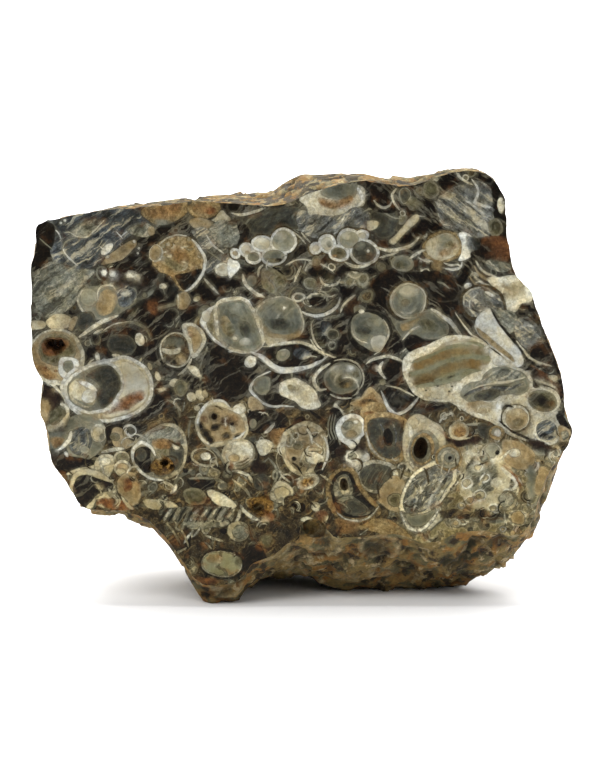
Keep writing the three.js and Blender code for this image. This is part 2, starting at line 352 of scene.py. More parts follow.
paint("night", (21, 17, 13), (8, 6, 5), 0.9, 1.6, 0.0, 0.0, 0.26, 0.6, SILK, 0.1)
paint("umber", (60, 52, 36), (22, 18, 13), 1.0, 0.9, 0.1, 0.0, 0.36, 0.8, (148, 126, 84), 0.1)
paint("cream", (202, 196, 176), (158, 149, 122), 0.7, 0.6, grain=0.45)
paint("white", (210, 208, 198), (170, 166, 150), 0.6, 0.6, grain=0.35)
paint("buff", (156, 136, 98), (108, 88, 56), 0.8, 0.7, grain=0.7)
paint("collar", (132, 122, 90), (84, 75, 50), 0.8, 0.8, grain=0.6, lining=PALE, lined=0.3)
paint("smoke", (104, 104, 91), (73, 74, 64), 0.8, 2.2, 0.0, 0.05, 0.0, 0.2, PALE, 0.2)
paint("haze", (136, 134, 117), (100, 99, 84), 0.8, 2.0, 0.0, 0.05, 0.0, 0.2, PALE, 0.2)
paint("pearl", (182, 176, 157), (152, 146, 126), 0.8, 2.2, 0.0, 0.0, 0.0, 0.15, PALE, 0.2)
paint("sage", (130, 129, 104), (108, 107, 84), 0.8, 2.0, grain=0.2)
paint("bronze", (122, 99, 60), (98, 79, 47), 0.8, 1.4, grain=0.25)
paint("slate", (88, 93, 95), (48, 51, 53), 0.9, 1.6, 0.1, 0.0, 0.85, 0.5, SILK, 0.1)
paint("pitch", (23, 19, 14), (10, 8, 6), 0.9, 1.2, 0.0, 0.0, 0.16, 0.5, SILK, 0.0)
paint("tan", (150, 132, 98), (112, 94, 64), 0.8, 1.4, 0.0, 0.05, 0.0, 0.35, PALE, 0.2)
paint("ochre", (142, 112, 72), (100, 74, 44), 0.9, 0.9, grain=0.6, soft=True)
paint("silver", (112, 112, 106), (66, 66, 61), 0.9, 1.4, 0.15, 0.0, 1.0, 0.6, SILK, 0.1)
paint("rust", (122, 80, 47), (82, 53, 33), 0.8, 0.8, grain=0.7, soft=True)
paint("maroon", (40, 27, 19), (19, 13, 10), 0.9, 1.0, swirl=0.2, grain=0.7, soft=True)
paint("olive", (88, 84, 60), (50, 46, 32), 0.8, 1.6, 0.0, 0.1, 0.1, 0.4, PALE, 0.2)
paint("milk", (182, 173, 147), (144, 133, 104), 0.8, 1.2, grain=0.35)
paint("basalt", (56, 57, 51), (30, 30, 26), 0.8, 2.0, 0.05, 0.08, 0.1, 0.4, (112, 105, 84), 0.3)
paint("lichen", (132, 131, 116), (86, 86, 75), 0.9, 1.2, 0.1, 0.0, 0.75, 0.6, SILK, 0.1)
paint("gold", (166, 130, 73), (80, 55, 28), 1.0, 0.5, grain=1.0, soft=True)
paint("hollow", (40, 30, 20), (14, 10, 8), 0.8, 0.8)
print(len(PAINTS), "paints")

# %% [markdown]
# ## Drawing tools
#
# Shell sections are egg shapes, walls follow their outline inwards, splinters are tapered strokes,
# and everything else is a smooth closed curve through a few points. All of them are turned
# into closed outlines with points a few squares apart, and nudged by a little noise, because
# nothing in the rock is perfectly smooth. A later region lies over an earlier one.

# %% Make the drawing tools
STEP = 2.3           # squares between the points of an outline
NUDGES = ((0.9, 16.0), (0.5, 5.0))    # how far, and over what distance, in squares
NOISE_SEED = 5       # noise vectors start from the clock unless a seed is set
WALL_LEAN = 0.45     # how much thicker a wall is on its thick side
regions = []         # (outline, paint, the outline that clips it or None)
noise.seed_set(NOISE_SEED)


def pairs(numbers):
    return np.array(numbers, dtype=float).reshape(-1, 2)


def curve(points, closed=True, step=STEP):
    """A Catmull-Rom curve through the points, with a point about every step."""
    count = len(points)
    path = []
    spans = count if closed else count - 1
    for i in range(spans):
        p1, p2 = points[i], points[(i + 1) % count]
        if closed:
            p0, p3 = points[i - 1], points[(i + 2) % count]
        else:
            p0, p3 = points[max(i - 1, 0)], points[min(i + 2, count - 1)]
        pieces = max(1, round(float(np.hypot(*(p2 - p1))) / step))
        for k in range(pieces):
            t = k / pieces
            path.append(
                0.5 * (2 * p1 + (p2 - p0) * t + (2 * p0 - 5 * p1 + 4 * p2 - p3) * t * t
                       + (3 * p1 - p0 - 3 * p2 + p3) * t ** 3)
            )
    if not closed:
        path.append(points[-1])
    return np.array(path)


def inside(path, points):
    """Which of the points lie inside the closed path, by counting crossings."""
    result = np.zeros(len(points), dtype=bool)
    x, y = points[:, 0], points[:, 1]
    for (x1, y1), (x2, y2) in zip(path, np.roll(path, -1, axis=0)):
        if y1 == y2:
            continue
        crosses = (y1 > y) != (y2 > y)
        result ^= crosses & (x < (x2 - x1) * (y - y1) / (y2 - y1) + x1)
    return result


def points_in(path, points):
    """Like inside, but only tests the points in the path's own box."""
    low, high = path.min(0), path.max(0)
    near = np.nonzero(np.all((points >= low) & (points <= high), axis=1))[0]
    return near[inside(path, points[near])] if len(near) else near


def nudged(path):
    for amount, size in NUDGES:
        moves = [noise.noise_vector(Vector((u / size, v / size, 3.7))) for u, v in path]
        path = path + amount * np.array(moves)[:, :2]
    return path


def put(path, name, within=None):
    path = nudged(path)
    regions.append((path, name, within))
    return path


def grown(path, distance):
    """The outline moved outwards, or inwards where distance is negative."""
    ahead = np.roll(path, -1, axis=0) - np.roll(path, 1, axis=0)
    ahead /= np.maximum(np.hypot(ahead[:, 0], ahead[:, 1]), 1e-6)[:, None]
    turn = np.sum(path[:, 0] * np.roll(path[:, 1], -1) - np.roll(path[:, 0], -1) * path[:, 1])
    outward = np.stack([ahead[:, 1], -ahead[:, 0]], axis=1) * np.sign(turn)
    return path + outward * distance


def hollowed(path, thick):
    """The outline moved inwards by a wall that is thicker on one side."""
    middle = path.mean(axis=0)
    lean = 0.13 * middle[0] + 0.07 * middle[1]
    around = np.arctan2(path[:, 1] - middle[1], path[:, 0] - middle[0])
    return grown(path, -thick * (1 + WALL_LEAN * np.cos(around - lean))[:, None])


def blob(name, *numbers, within=None):
    return put(curve(pairs(numbers)), name, within)


def egg_path(u, v, wide, high, tilt=0, nose=0.0):
    count = max(8, round(math.pi * (wide + high) / STEP))
    angle = np.linspace(0, 2 * math.pi, count, endpoint=False)
    x = wide * np.cos(angle)
    y = high * np.sin(angle) * (1 - nose * np.cos(angle))
    c, s = math.cos(math.radians(tilt)), math.sin(math.radians(tilt))
    return np.stack([u + x * c + y * s, v - x * s + y * c], axis=1)


def egg(name, u, v, wide, high, tilt=0, nose=0.0, within=None):
    return put(egg_path(u, v, wide, high, tilt, nose), name, within)


def ribbon(name, width, *numbers, within=None, taper=0.75):
    """A band along a line, thinner towards both ends."""
    path = curve(pairs(numbers), closed=False)
    ahead = np.gradient(path, axis=0)
    ahead /= np.maximum(np.hypot(ahead[:, 0], ahead[:, 1]), 1e-6)[:, None]
    side = np.stack([-ahead[:, 1], ahead[:, 0]], axis=1)
    along = np.linspace(-1, 1, len(path))
    half = 0.5 * width * (1 - taper * np.abs(along) ** 3)
    return put(np.concatenate([path + side * half[:, None], (path - side * half[:, None])[::-1]]),
               name, within)


def ring(wall, filling, u, v, wide, high, thick, tilt=0, nose=0.0):
    path = egg(wall, u, v, wide, high, tilt, nose)
    return put(hollowed(path, thick), filling)


def shell(wall, filling, thick, *numbers):
    path = blob(wall, *numbers)
    return put(hollowed(path, thick), filling)


def chambers(wall, rim, *cells):
    """A row of chambers in one wall, each (filling, u, v, wide, high, tilt), with a dark edge."""
    for name, extra in (("umber", rim + 1.4), (wall, rim)):
        for _, u, v, wide, high, tilt in cells:
            egg(name, u, v, wide + extra, high + extra, tilt)
    for filling, u, v, wide, high, tilt in cells:
        egg(filling, u, v, wide, high, tilt)


def tally(area):
    print(area + ":", len(regions), "regions so far")


tally("blank paper")

# %% [markdown]
# ## The ground between the shells
#
# Between the large shells lies a hash of small ones. In the upper half they float in dark
# chalcedony, drawn out in wisps the way smoke drifts, and in the lower half they are packed
# in brown mud. The grounds are laid first, then soft wisps that follow a slowly turning
# direction, then small shells strewn at random: rings, crescents, nested arcs, splinters and
# grains, each kind with its own share. Drawing each by hand would add nothing, because no
# one of them is remembered, only their crowd.

# %% Lay the ground
blob("night", 0, 150, 640, 150, 640, 640, 0, 640)
mud = blob("umber", 20,452, 60,470, 100,440, 128,425, 150,418, 190,396, 215,392, 245,396, 262,410, 285,404,
    310,412, 345,398, 372,400, 400,420, 430,412, 470,405, 520,430, 600,440, 600,640, 0,640, 0,470)
pale_bed = blob("collar", 398,470, 414,452, 440,438, 480,438, 520,446, 560,446, 570,560, 470,560, 392,560)
whole = curve(pairs((20, 160, 600, 160, 600, 600, 20, 600)))
tally("ground")

# %% Draw the wisps
DRIFT_TURN = -0.45     # radians, and how far to each side of it the direction swings
DRIFT_SWING = 2.4
DRIFT_SIZE = 60.0      # squares over which it swings


def scattered(area, count, chance):
    low, high = area.min(0), area.max(0)
    spots = np.array([(chance.uniform(low[0], high[0]), chance.uniform(low[1], high[1]))
                      for _ in range(count)])
    return spots[points_in(area, spots)]


def wisp(name, u, v, long, wide):
    numbers = []
    for _ in range(6):
        numbers += [u, v]
        turn = DRIFT_TURN + DRIFT_SWING * noise.noise(Vector((u / DRIFT_SIZE, v / DRIFT_SIZE, 9.1)))
        u += long / 5 * math.cos(turn)
        v += long / 5 * math.sin(turn)
    ribbon(name, wide, *numbers, taper=0.9)


def waft(area, count, names, seed):
    chance = random.Random(seed)
    for u, v in scattered(area, count, chance):
        wisp(chance.choice(names), u, v, chance.uniform(12, 42), chance.uniform(1.8, 5.0))


waft(whole, 420, ("basalt~", "pitch~", "olive~", "smoke~", "basalt"), 20)
waft(whole, 200, ("smoke~", "haze~", "lichen", "smoke"), 21)
tally("wisps")

# %% Strew the small shells
LIGHT_BITS = ("cream", "buff", "collar", "collar", "haze", "tan")
DARK_BITS = ("olive", "smoke", "basalt", "umber", "basalt", "collar", "pitch")


def arc_numbers(u, v, radius, start, sweep):
    """Points along an arc, as one flat list for a ribbon."""
    angles = [math.radians(start + sweep * i / 4) for i in range(5)]
    return [n for a in angles for n in (u + radius * math.cos(a), v + radius * math.sin(a))]


def small_ring(chance, u, v, size, walls, fillings):
    high = size * chance.uniform(0.7, 1.0)
    tilt = chance.uniform(0, 180)
    egg(chance.choice(walls), u, v, size, high, tilt, 0.15)
    egg(chance.choice(fillings), u, v, size * 0.66, high * 0.62, tilt, 0.15)


def small_arcs(chance, u, v, size, walls, _):
    start, sweep = chance.uniform(0, 360), chance.uniform(90, 200)
    for layer in range(chance.choice((1, 1, 2, 3))):
        radius = size * (1.25 - 0.42 * layer)
        width = max(1.3, size * chance.uniform(0.18, 0.34))
        ribbon(chance.choice(walls), width, *arc_numbers(u, v, radius, start, sweep))


def small_splinter(chance, u, v, size, walls, _):
    turn = chance.uniform(0, math.pi)
    bend = chance.uniform(-0.3, 0.3) * size
    du, dv = 1.5 * size * math.cos(turn), 1.5 * size * math.sin(turn)
    ribbon(chance.choice(walls), max(1.4, size * 0.4), u - du, v - dv, u + bend, v - bend, u + du, v + dv)


def small_grain(chance, u, v, size, _, fillings):
    spokes = [math.radians(60 * i + chance.uniform(-18, 18)) for i in range(6)]
    reach = [size * chance.uniform(0.55, 1.15) for _ in spokes]
    corners = [(u + r * math.cos(a), v + 0.8 * r * math.sin(a)) for a, r in zip(spokes, reach)]
    blob(chance.choice(fillings), *[n for corner in corners for n in corner])


KINDS = (small_ring, small_arcs, small_splinter, small_grain)


def strew(area, count, sizes, shares, walls, fillings, seed):
    chance = random.Random(seed)
    for u, v in scattered(area, count, chance):
        kind = chance.choices(KINDS, shares)[0]
        kind(chance, u, v, chance.uniform(*sizes), walls, fillings)


strew(whole, 300, (3.5, 8.0), (3, 4, 1, 2), ("smoke", "olive", "collar", "haze"),
      ("basalt", "pitch", "olive", "umber"), 10)
strew(whole, 560, (2.0, 4.6), (2, 5, 4, 1), ("smoke", "olive", "haze", "cream", "basalt", "lichen"),
      ("basalt", "pitch", "olive", "umber"), 11)
strew(mud, 760, (2.4, 7.0), (3, 4, 3, 3), LIGHT_BITS, DARK_BITS, 12)
strew(mud, 330, (1.8, 3.6), (3, 3, 3, 2), LIGHT_BITS + ("ochre",), DARK_BITS + ("pitch", "pitch"), 13)
strew(mud, 250, (3.0, 9.0), (0, 5, 2, 1), ("pitch", "umber"), ("pitch", "basalt"), 14)
strew(pale_bed, 190, (2.5, 8.0), (3, 4, 3, 3), ("cream", "white", "milk", "cream"),
      ("haze", "collar", "lichen", "tan"), 15)
tally("small shells")

# %% [markdown]
# ## The upper left corner
#
# A mass of blue-grey chalcedony full of pale streaks fills the corner, over a chain of five
# chambers: a small snail cut along its spire. From here on the shells are placed one by one,
# one area at a time, large pieces first and their details over them.

# %% Draw the upper left corner
blob("maroon", 28,262, 40,258, 44,285, 40,312, 30,314)
# Partly painted sheen: the blue-grey slate and whitish-grey lichen here are the stone's colour with the
# polish's sheen laid in as colour.
blob("slate", 40,222, 54,217, 80,214, 100,212, 122,209, 142,212, 150,222, 138,232, 124,242, 112,254,
    100,264, 88,270, 70,272, 56,264, 50,252, 48,238)
blob("pitch", 36,226, 54,225, 56,240, 51,252, 54,260, 46,266, 34,272, 29,270, 30,262, 37,252)
blob("lichen", 34,284, 40,272, 52,262, 66,266, 84,270, 96,271, 88,281, 80,290, 78,300, 70,309, 58,316,
    42,317, 36,305)
blob("lichen", 70,233, 78,226, 92,221, 104,221, 98,229, 90,236, 78,237)
ribbon("cream", 1.8, 66,234, 70,233, 78,237, 88,237, 95,232, 100,227, 105,221)
ribbon("white", 1.8, 64,248, 66,254, 70,259, 75,263, 79,266)
ribbon("white", 1.4, 57,231, 61,236, 63,241)
ribbon("haze", 1.3, 41,239, 47,245, 53,249)
ribbon("haze", 1.5, 64,250, 66,244, 72,240, 80,238)
egg("white", 108,250, 8,4, 45)
ribbon("white", 1.6, 122,238, 128,233, 135,228)
ribbon("white", 1.4, 117,233, 121,237, 124,240)
ribbon("white", 1.5, 100,247, 104,250, 108,252)
blob("pitch", 138,242, 150,236, 160,236, 157,246, 146,254, 138,262, 126,269, 113,269, 118,262, 128,256)
blob("maroon", 98,270, 112,268, 126,270, 140,273, 151,282, 146,291, 130,289, 112,287, 103,282)
blob("tan", 102,265, 110,256, 120,248, 130,242, 137,240, 137,246, 130,254, 122,260, 112,264)
egg("maroon", 124,250, 4,2.5, 40)
egg("white", 135,242, 1.6,1.6)
blob("lichen", 128,232, 136,226, 146,224, 154,229, 153,236, 146,238, 136,236)
egg("tan", 152,232, 4,5)
egg("cream", 108.5,258, 3,1.5, 30)
for u, v, size in ((105, 273, 2.8), (113.5, 274.5, 3.1), (66, 221, 1.5), (62, 224, 1.4), (140, 249, 1.3),
                   (139, 254, 1.2)):
    egg("white", u, v, size, size)
egg("smoke", 106.5,283, 2.6,2.5)
ribbon("cream", 3, 127,276, 133,276, 140,277)
tally("upper left corner")

# %% Draw the chain of chambers
blob("smoke", 78,296, 84,288, 96,286, 110,284, 122,288, 136,289, 137,300, 128,309, 116,316, 104,320, 92,318,
    82,309)
egg("haze", 89.5,297.5, 8.6,9.2)
blob("tan~", 98,300, 104,290, 114,290, 118,300, 112,312, 102,316, 96,310)
ribbon("cream", 2, 98,300, 99,290, 106,285, 114,286, 118,293)
blob("slate", 119,290, 128,287, 136,292, 137,299, 130,306, 121,307, 118,298)
egg("pearl~", 127,294, 6,4)
ribbon("cream", 2.4, 86,288, 80,295, 79,303, 84,312, 91,319, 98,324)
ribbon("haze", 1.6, 97,323, 108,320, 118,315)
blob("basalt", 80,313, 92,312, 96,322, 90,332, 80,331, 74,322)
ribbon("cream", 4.2, 79,337, 90,330, 100,323, 108,319, 119,315)
ribbon("cream", 2.5, 94,334, 100,331, 104,329)
tally("chain of chambers")

# %% [markdown]
# ## The left edge
#
# Two big whorls lie here, each cut across: one with a rusty hollow in it, one with a pale
# snail inside a wide white shell. The rusty one could be two circles, but a slanting cut
# makes a wall thicker on one side, and the ring helper does the same. The white one is too
# bent for a ring, so it is an outline of its own, with a second one for the snail in it.

# %% Draw the dark disc and its neighbours
egg("pitch", 124,345, 23,18, -8)
egg("basalt", 122,345, 15,11, -8)
ribbon("olive", 3, 102,334, 110,327, 120,324, 132,322, 140,325, 147,330, 151,339)
ribbon("cream", 1.6, 104,331, 112,325, 122,322, 134,321)
egg("cream", 140,339, 5,6.5, 20)
egg("cream", 98,357, 2.4,5, 10)
ribbon("cream", 1.8, 86,367, 91,362, 95,359)
egg("cream", 116,355, 4,1.6)
blob("milk", 29,322, 44,321, 46,327, 38,330, 29,330)
blob("milk", 46,322, 54,315, 64,314, 72,318, 70,326, 62,330, 52,329)
blob("tan", 72,318, 78,317, 76,324, 72,331, 69,330)
tally("dark disc and its neighbours")

# %% Draw the rusty whorl
ring("cream", "tan", 57,357, 28,28.5, 3.6)
blob("olive", 40,345, 52,334, 68,337, 76,350, 70,362, 56,366, 42,360)
blob("rust", 42,342, 50,337, 62,338, 71,342, 66,349, 58,355, 50,357, 43,352)
blob("ochre", 33,360, 42,365, 50,370, 58,375, 50,380, 40,374)
blob("white", 60,359, 70,357, 79,361, 76,372, 67,379, 59,373)
blob("smoke", 64,362, 72,361, 74,368, 68,373, 63,369)
egg("rust", 46,368, 2.4,2)
egg("rust", 56,371, 2,1.6)
for u, v, size in ((52, 345, 4.2), (57, 350, 2.6), (61, 344.5, 2.6)):
    egg("hollow", u, v, size, size * 0.85)
tally("rusty whorl")

# %% Draw the pale snail in its white shell
whorl = blob("white", 112,358, 124,355, 137,360, 148,368, 153,380, 153,392, 149,403, 139,412, 126,418,
    112,422, 98,422, 83,418, 71,410, 63,399, 60,388, 64,377, 73,369, 86,365, 98,361)
put(grown(whorl, -3.4), "milk")
blob("pearl", 122,362, 134,365, 143,373, 148,384, 147,396, 141,405, 130,412, 114,417, 102,416, 110,408,
    118,399, 123,388, 123,376)
blob("rust", 108,404, 118,400, 128,394, 142,390, 146,396, 138,404, 126,411, 112,414, 102,414)
egg("maroon", 133,397, 2.4,2)
egg("maroon", 128,410, 2,1.6)
snail = blob("white", 70,376, 84,368, 98,363, 108,361, 117,366, 123,376, 123,388, 119,398, 111,408, 100,413,
    86,413, 73,407, 65,396, 64,385)
put(grown(snail, -2.8), "smoke")
blob("basalt", 100,367, 110,365, 116,370, 120,379, 119,390, 113,400, 104,408, 98,404, 97,394, 100,386,
    93,380, 86,376)
blob("milk", 70,384, 78,378, 88,382, 94,392, 95,403, 86,408, 75,403, 69,395)
egg("white", 89,396, 8,7, 30)
ribbon("white", 5, 79,381, 88,385, 97,391)
ribbon("haze", 2, 74,398, 84,404, 96,408)
blob("tan", 34,390, 46,386, 58,392, 60,404, 52,412, 40,410, 34,400)
blob("pitch", 44,396, 56,394, 60,408, 50,416, 42,408)
ring("milk", "olive", 46,405, 9,8, 2)
ribbon("cream", 3, 42,380, 52,384, 60,394, 66,404, 68,412, 62,420)
tally("pale snail in its white shell")

# %% [markdown]
# ## The top edge
#
# Here two snails lie on their sides, cut lengthwise, so their chambers show as a row of
# bubbles in one pale wall. Orange stain has crept in from the rind above them. Stains and
# shadows inside a filling are soft paints, so they have no wall of their own.

# %% Draw the stained shells at the top left
blob("maroon", 34,214, 90,206, 140,202, 142,209, 100,212, 60,217, 40,222)
blob("buff", 141,214, 148,207, 160,203, 174,201, 187,204, 188,213, 178,221, 164,225, 150,223)
blob("ochre~", 146,213, 160,207, 176,206, 182,213, 170,220, 154,220)
egg("rust", 179,207, 5,3.4)
blob("buff", 188,210, 196,202, 208,200, 219,204, 220,212, 212,218, 198,220)
egg("ochre~", 203,210, 11,6, -5)
egg("rust", 212,212, 5,4)
blob("tan", 190,221, 202,219, 214,223, 208,230, 196,230)
egg("haze~", 164,223, 10,3, -4)
blob("milk", 212,221, 215,219, 222,211, 227,215, 231,221, 222,224)
blob("pitch", 228,205, 235,203, 245,207, 242,214, 234,214)
ribbon("cream", 3, 232,214, 243,216, 255,213, 267,209)
blob("basalt", 236,220, 250,217, 266,212, 280,209, 296,208, 304,214, 302,224, 296,230, 284,228, 272,232,
    262,236, 252,234, 242,230)
for start in range(5):
    ribbon("smoke~", 2.2, 240 + 12 * start,232 - 2 * start, 248 + 12 * start,222 - 2 * start,
        258 + 12 * start,215 - 2 * start)
blob("lichen", 211,227, 220,221, 230,222, 240,226, 243,236, 238,244, 228,248, 217,244, 210,236)
blob("pitch", 236,222, 244,224, 250,232, 246,242, 238,246, 240,236)
blob("silver", 193,232, 206,229, 216,242, 226,249, 233,254, 226,263, 216,269, 207,274, 205,262, 203,252,
    197,241)
ribbon("white", 2, 206,236, 214,246, 224,254)
ribbon("haze", 1.4, 206,250, 214,256, 222,262)
tally("stained shells at the top left")

# %% Draw the tan shell under them
dome = blob("buff", 158,246, 166,239, 176,235, 188,237, 196,243, 202,251, 205,261, 204,271, 199,281,
    191,289, 184,293, 176,284, 170,276, 160,272, 153,262)
blob("ochre~", 164,250, 174,245, 186,250, 190,262, 182,268, 170,262)
blob("collar~", 160,262, 170,268, 180,272, 186,268, 176,262, 164,256)
strew(dome, 34, (1.8, 4.0), (0, 3, 2, 3), ("milk", "buff", "collar"), ("ochre", "collar", "milk"), 31)
blob("pitch", 176,276, 188,273, 202,270, 198,280, 190,288, 184,291, 179,284)
ribbon("white", 3.4, 192,240, 200,249, 206,260, 204,272, 198,282, 190,289, 182,294)
ribbon("cream", 1.8, 158,248, 166,240, 176,236, 188,237)
ring("cream", "tan", 157,254, 7,8.5, 1.4)
ribbon("cream", 2.6, 204,279, 211,286, 219,294)
egg("cream", 163,287, 4,3)
ring("cream", "pearl", 223,270, 8,7, 1.6)
egg("tan~", 222,269, 4,3, 20)
blob("white", 228,261, 234,259, 240,266, 235,274, 229,278)
tally("tan shell under them")

# %% Draw the first row of bubbles
chambers("white", 2.6, ("tan", 235.5,254, 2.6,2.8, 0), ("pearl", 246.5,250.5, 5,5, 0),
         ("smoke", 253.5,257.5, 6.2,4.6, 0), ("pearl", 262.3,244.6, 8,6, 0),
         ("smoke", 274,257, 10.6,6.4, 5), ("haze", 283.5,241.5, 11.2,10.4, 0))
egg("olive~", 253.5,259, 4.6,2.6)
egg("umber~", 275,260.5, 8,2.6)
egg("pearl~", 281,237, 7,4.6)
egg("smoke~", 262,248, 5,2.4)
egg("tan~", 247,253, 3,2)
ribbon("cream", 4, 243,274, 246,284, 254,292, 265,298)
ribbon("cream", 2.4, 258,277, 259,270, 263,265)
blob("olive", 262,270, 272,268, 284,274, 287,284, 280,293, 270,293, 262,285)
ribbon("pitch", 2, 270,266, 277,270, 284,275)
egg("smoke", 252,281, 5,6)
ribbon("haze", 1.6, 266,276, 273,283, 276,290)
tally("first row of bubbles")

# %% Draw the cup and the streaky grey mass
streams = blob("silver", 296,220, 300,212, 316,214, 330,216, 344,212, 356,208, 366,212, 373,220, 381,224,
    376,230, 350,228, 336,235, 322,239, 308,237, 299,230)
for start in range(7):
    ribbon("white~" if start % 3 == 0 else "basalt~", 2.4, 300 + 11 * start,236, 307 + 11 * start,226,
        312 + 11 * start,214, within=streams)
blob("basalt", 372,208, 384,212, 396,212, 398,226, 390,238, 378,238, 370,226)
ribbon("haze", 1.8, 362,213, 372,210, 383,213, 392,218, 402,220)
blob("milk", 366,222, 372,221, 378,223, 376,229, 368,231)
blob("cream", 299,200, 308,193, 320,188, 338,185, 356,186, 363,189, 365,197, 363,207, 352,209, 344,214,
    330,217, 318,215, 309,216, 306,208)
blob("smoke", 321,191, 330,187, 344,184, 356,184, 357,190, 354,198, 344,201, 332,200, 323,197)
blob("basalt~", 334,189, 342,186, 343,196, 336,196)
blob("ochre", 318,197, 326,200, 338,201, 350,196, 353,203, 346,208, 336,211, 326,209, 319,204)
ribbon("rust", 2.6, 320,203, 330,207, 342,206, 351,201)
ribbon("white", 3.6, 357,189, 361,196, 362,203, 356,208)
ribbon("basalt", 1.8, 346,184, 355,183, 366,182)
blob("pitch", 370,188, 378,184, 390,186, 397,190, 392,200, 395,212, 386,214, 374,212, 366,204, 371,196)
egg("maroon", 379,199, 7,5)
ribbon("cream", 2.4, 373,202, 377,206, 383,209, 389,206, 391,202)
ribbon("cream", 2.4, 397,189, 392,196, 393,203, 399,211)
ring("haze", "basalt", 404,197, 6,8, 1.2)
egg("olive~", 414,206, 9,6)
blob("olive", 423,186, 432,182, 438,188, 438,196, 430,200, 422,196)
blob("milk", 388,243, 390,240, 396,235, 404,226, 412,216, 418,217, 417,223, 408,231, 400,239, 394,245)
ribbon("cream", 1.5, 293,232, 300,238, 306,245)
ribbon("cream", 1.8, 301,233, 306,239, 311,244)
tally("cup and the streaky grey mass")

# %% Draw the second row of bubbles
chambers("white", 2.8, ("pearl", 315.5,249, 3.4,3.6, 0), ("pearl", 327,244.5, 6.4,7, 20),
         ("haze", 349,240.5, 9.6,9, 0), ("olive", 338.5,254, 8,5.4, -8),
         ("pearl", 362,236, 4,3.6, 0), ("basalt", 364,252.5, 12.4,10.4, -10))
egg("smoke~", 329,245, 3,4, 20)
egg("ochre~", 335,257, 4,2)
egg("pearl~", 346,237, 5,4)
egg("umber~", 362,258, 8,3)
egg("smoke~", 360,247, 6,4, 20)
# Painted highlight: a small white spot on the dark chamber.
egg("white", 368,251, 1.8,1.6)
ribbon("cream", 3.6, 344,262, 354,267, 366,266, 374,261)
ribbon("cream", 3.4, 376,247, 386,251, 397,250, 410,246, 418,238)
ribbon("cream", 2.4, 379,258, 390,255, 399,252)
ring("haze", "smoke", 402,264, 12,8, 1.4, -10)
egg("olive~", 400,266, 7,4)
ribbon("pearl", 1.6, 286,266, 298,260, 310,261, 324,266, 334,273)
ribbon("cream", 2.4, 320,277, 322,283, 328,286, 336,284, 340,279)
egg("olive~", 329,279, 6,5)
ring("haze", "olive", 310,284, 7,6.4, 1.2)
ribbon("gold", 2, 290,281, 294,277, 299,275)
egg("umber~", 354,279, 14,7, -10)
egg("olive~", 364,285, 7,4)
ribbon("cream", 2, 305,272, 307,266, 312,263)
tangle = curve(pairs((262,266, 290,258, 320,262, 350,268, 372,272, 380,284, 350,294, 310,300, 275,296)))
strew(tangle, 46, (3.0, 7.0), (1, 5, 2, 0), ("haze", "olive", "cream", "lichen"), ("olive", "basalt"), 32)
tally("second row of bubbles")

# %% [markdown]
# ## The upper right
#
# Shells here are bent and crushed. Pale walls run down to the right in long curves, the way
# the whole bed was squeezed before it turned to stone. Noise in the material could streak
# their fillings, but it can't follow a bend, so the boldest streaks are drawn as ribbons.

# %% Draw the corner above the round shell
streaky = blob("silver", 436,203, 446,192, 460,186, 476,182, 490,190, 496,204, 494,222, 488,236, 472,238,
    454,232, 440,224)
for start in range(9):
    name = ("basalt~", "white~", "lichen~")[start % 3]
    ribbon(name, 2.6, 438 + 6 * start,196 + start, 450 + 6 * start,204 + start, 462 + 6 * start,214 + start,
        within=streaky)
for start in range(7):
    name = ("pitch~", "haze~")[start % 2]
    ribbon(name, 2.2, 436 + 7 * start,212 + start, 446 + 7 * start,219 + start, 456 + 7 * start,229 + start,
        within=streaky)
ribbon("cream", 2.6, 450,171, 456,174, 459,179, 466,184, 472,187)
ribbon("white", 3, 471,181, 476,190, 476,198, 474,204, 482,207, 489,209)
ribbon("cream", 1.8, 444,212, 450,216, 456,220)
ribbon("cream", 1.6, 438,221, 443,225, 449,226)
ribbon("cream", 2, 434,202, 438,206, 441,207)
blob("milk~", 437,198, 448,193, 456,196, 448,200)
blob("pitch", 490,186, 497,184, 504,200, 506,220, 506,246, 496,246, 493,224, 492,204)
egg("cream", 500,207, 3.4,8)
blob("olive", 488,222, 498,220, 502,232, 494,238, 488,232)
tally("corner above the round shell")

# %% Draw the round shell and its fringe
blob("buff", 425,241, 432,235, 444,231, 454,234, 460,241, 462,249, 457,258, 448,262, 439,263, 431,261,
    424,256, 421,248)
blob("milk", 426,242, 434,238, 445,234, 453,236, 458,242, 459,249, 454,256, 447,259, 439,261, 432,259,
    427,254, 425,248)
blob("haze~", 440,236, 450,236, 452,243, 444,250, 438,258, 436,248)
egg("rust", 454,247, 4.6,4)
egg("ochre~", 445,253, 7,4, 20)
egg("collar~", 449,245, 5,4)
ribbon("cream~", 3, 431,240, 433,248, 432,256)
blob("white", 458,234, 466,233, 473,239, 476,246, 473,254, 466,260, 458,261, 461,252, 461,243)
blob("slate~", 466,236, 474,240, 476,250, 470,256, 467,246)
ribbon("silver~", 3, 460,238, 466,246, 462,256)
blob("basalt~", 470,236, 478,240, 480,248, 476,252)
blob("tan~", 432,262, 442,263, 444,269, 436,272, 430,268)
ribbon("cream", 3, 409,260, 417,254, 425,250)
ribbon("cream", 2.2, 418,258, 424,261, 432,262)
ribbon("cream", 2.2, 443,263, 450,266, 457,265, 461,268)
ribbon("white", 2.6, 444,269, 452,270, 460,268, 462,262)
blob("pitch", 470,254, 477,250, 484,244, 486,254, 480,262, 473,266)
blob("rust", 481,239, 494,236, 508,240, 510,256, 504,263, 490,262, 483,254)
blob("pitch~", 480,246, 492,244, 490,252, 482,256)
egg("maroon", 490,258, 6,4)
egg("maroon", 501,255, 5,3)
blob("lichen", 485,262, 500,262, 512,266, 506,272, 490,270)
for layer in range(4):
    ribbon("cream" if layer % 2 == 0 else "tan", 2.6, 475 - 2 * layer,261 + 5 * layer,
        480 - 2 * layer,269 + 5 * layer, 490 - 2 * layer,276 + 5 * layer, 501 - 2 * layer,280 + 5 * layer)
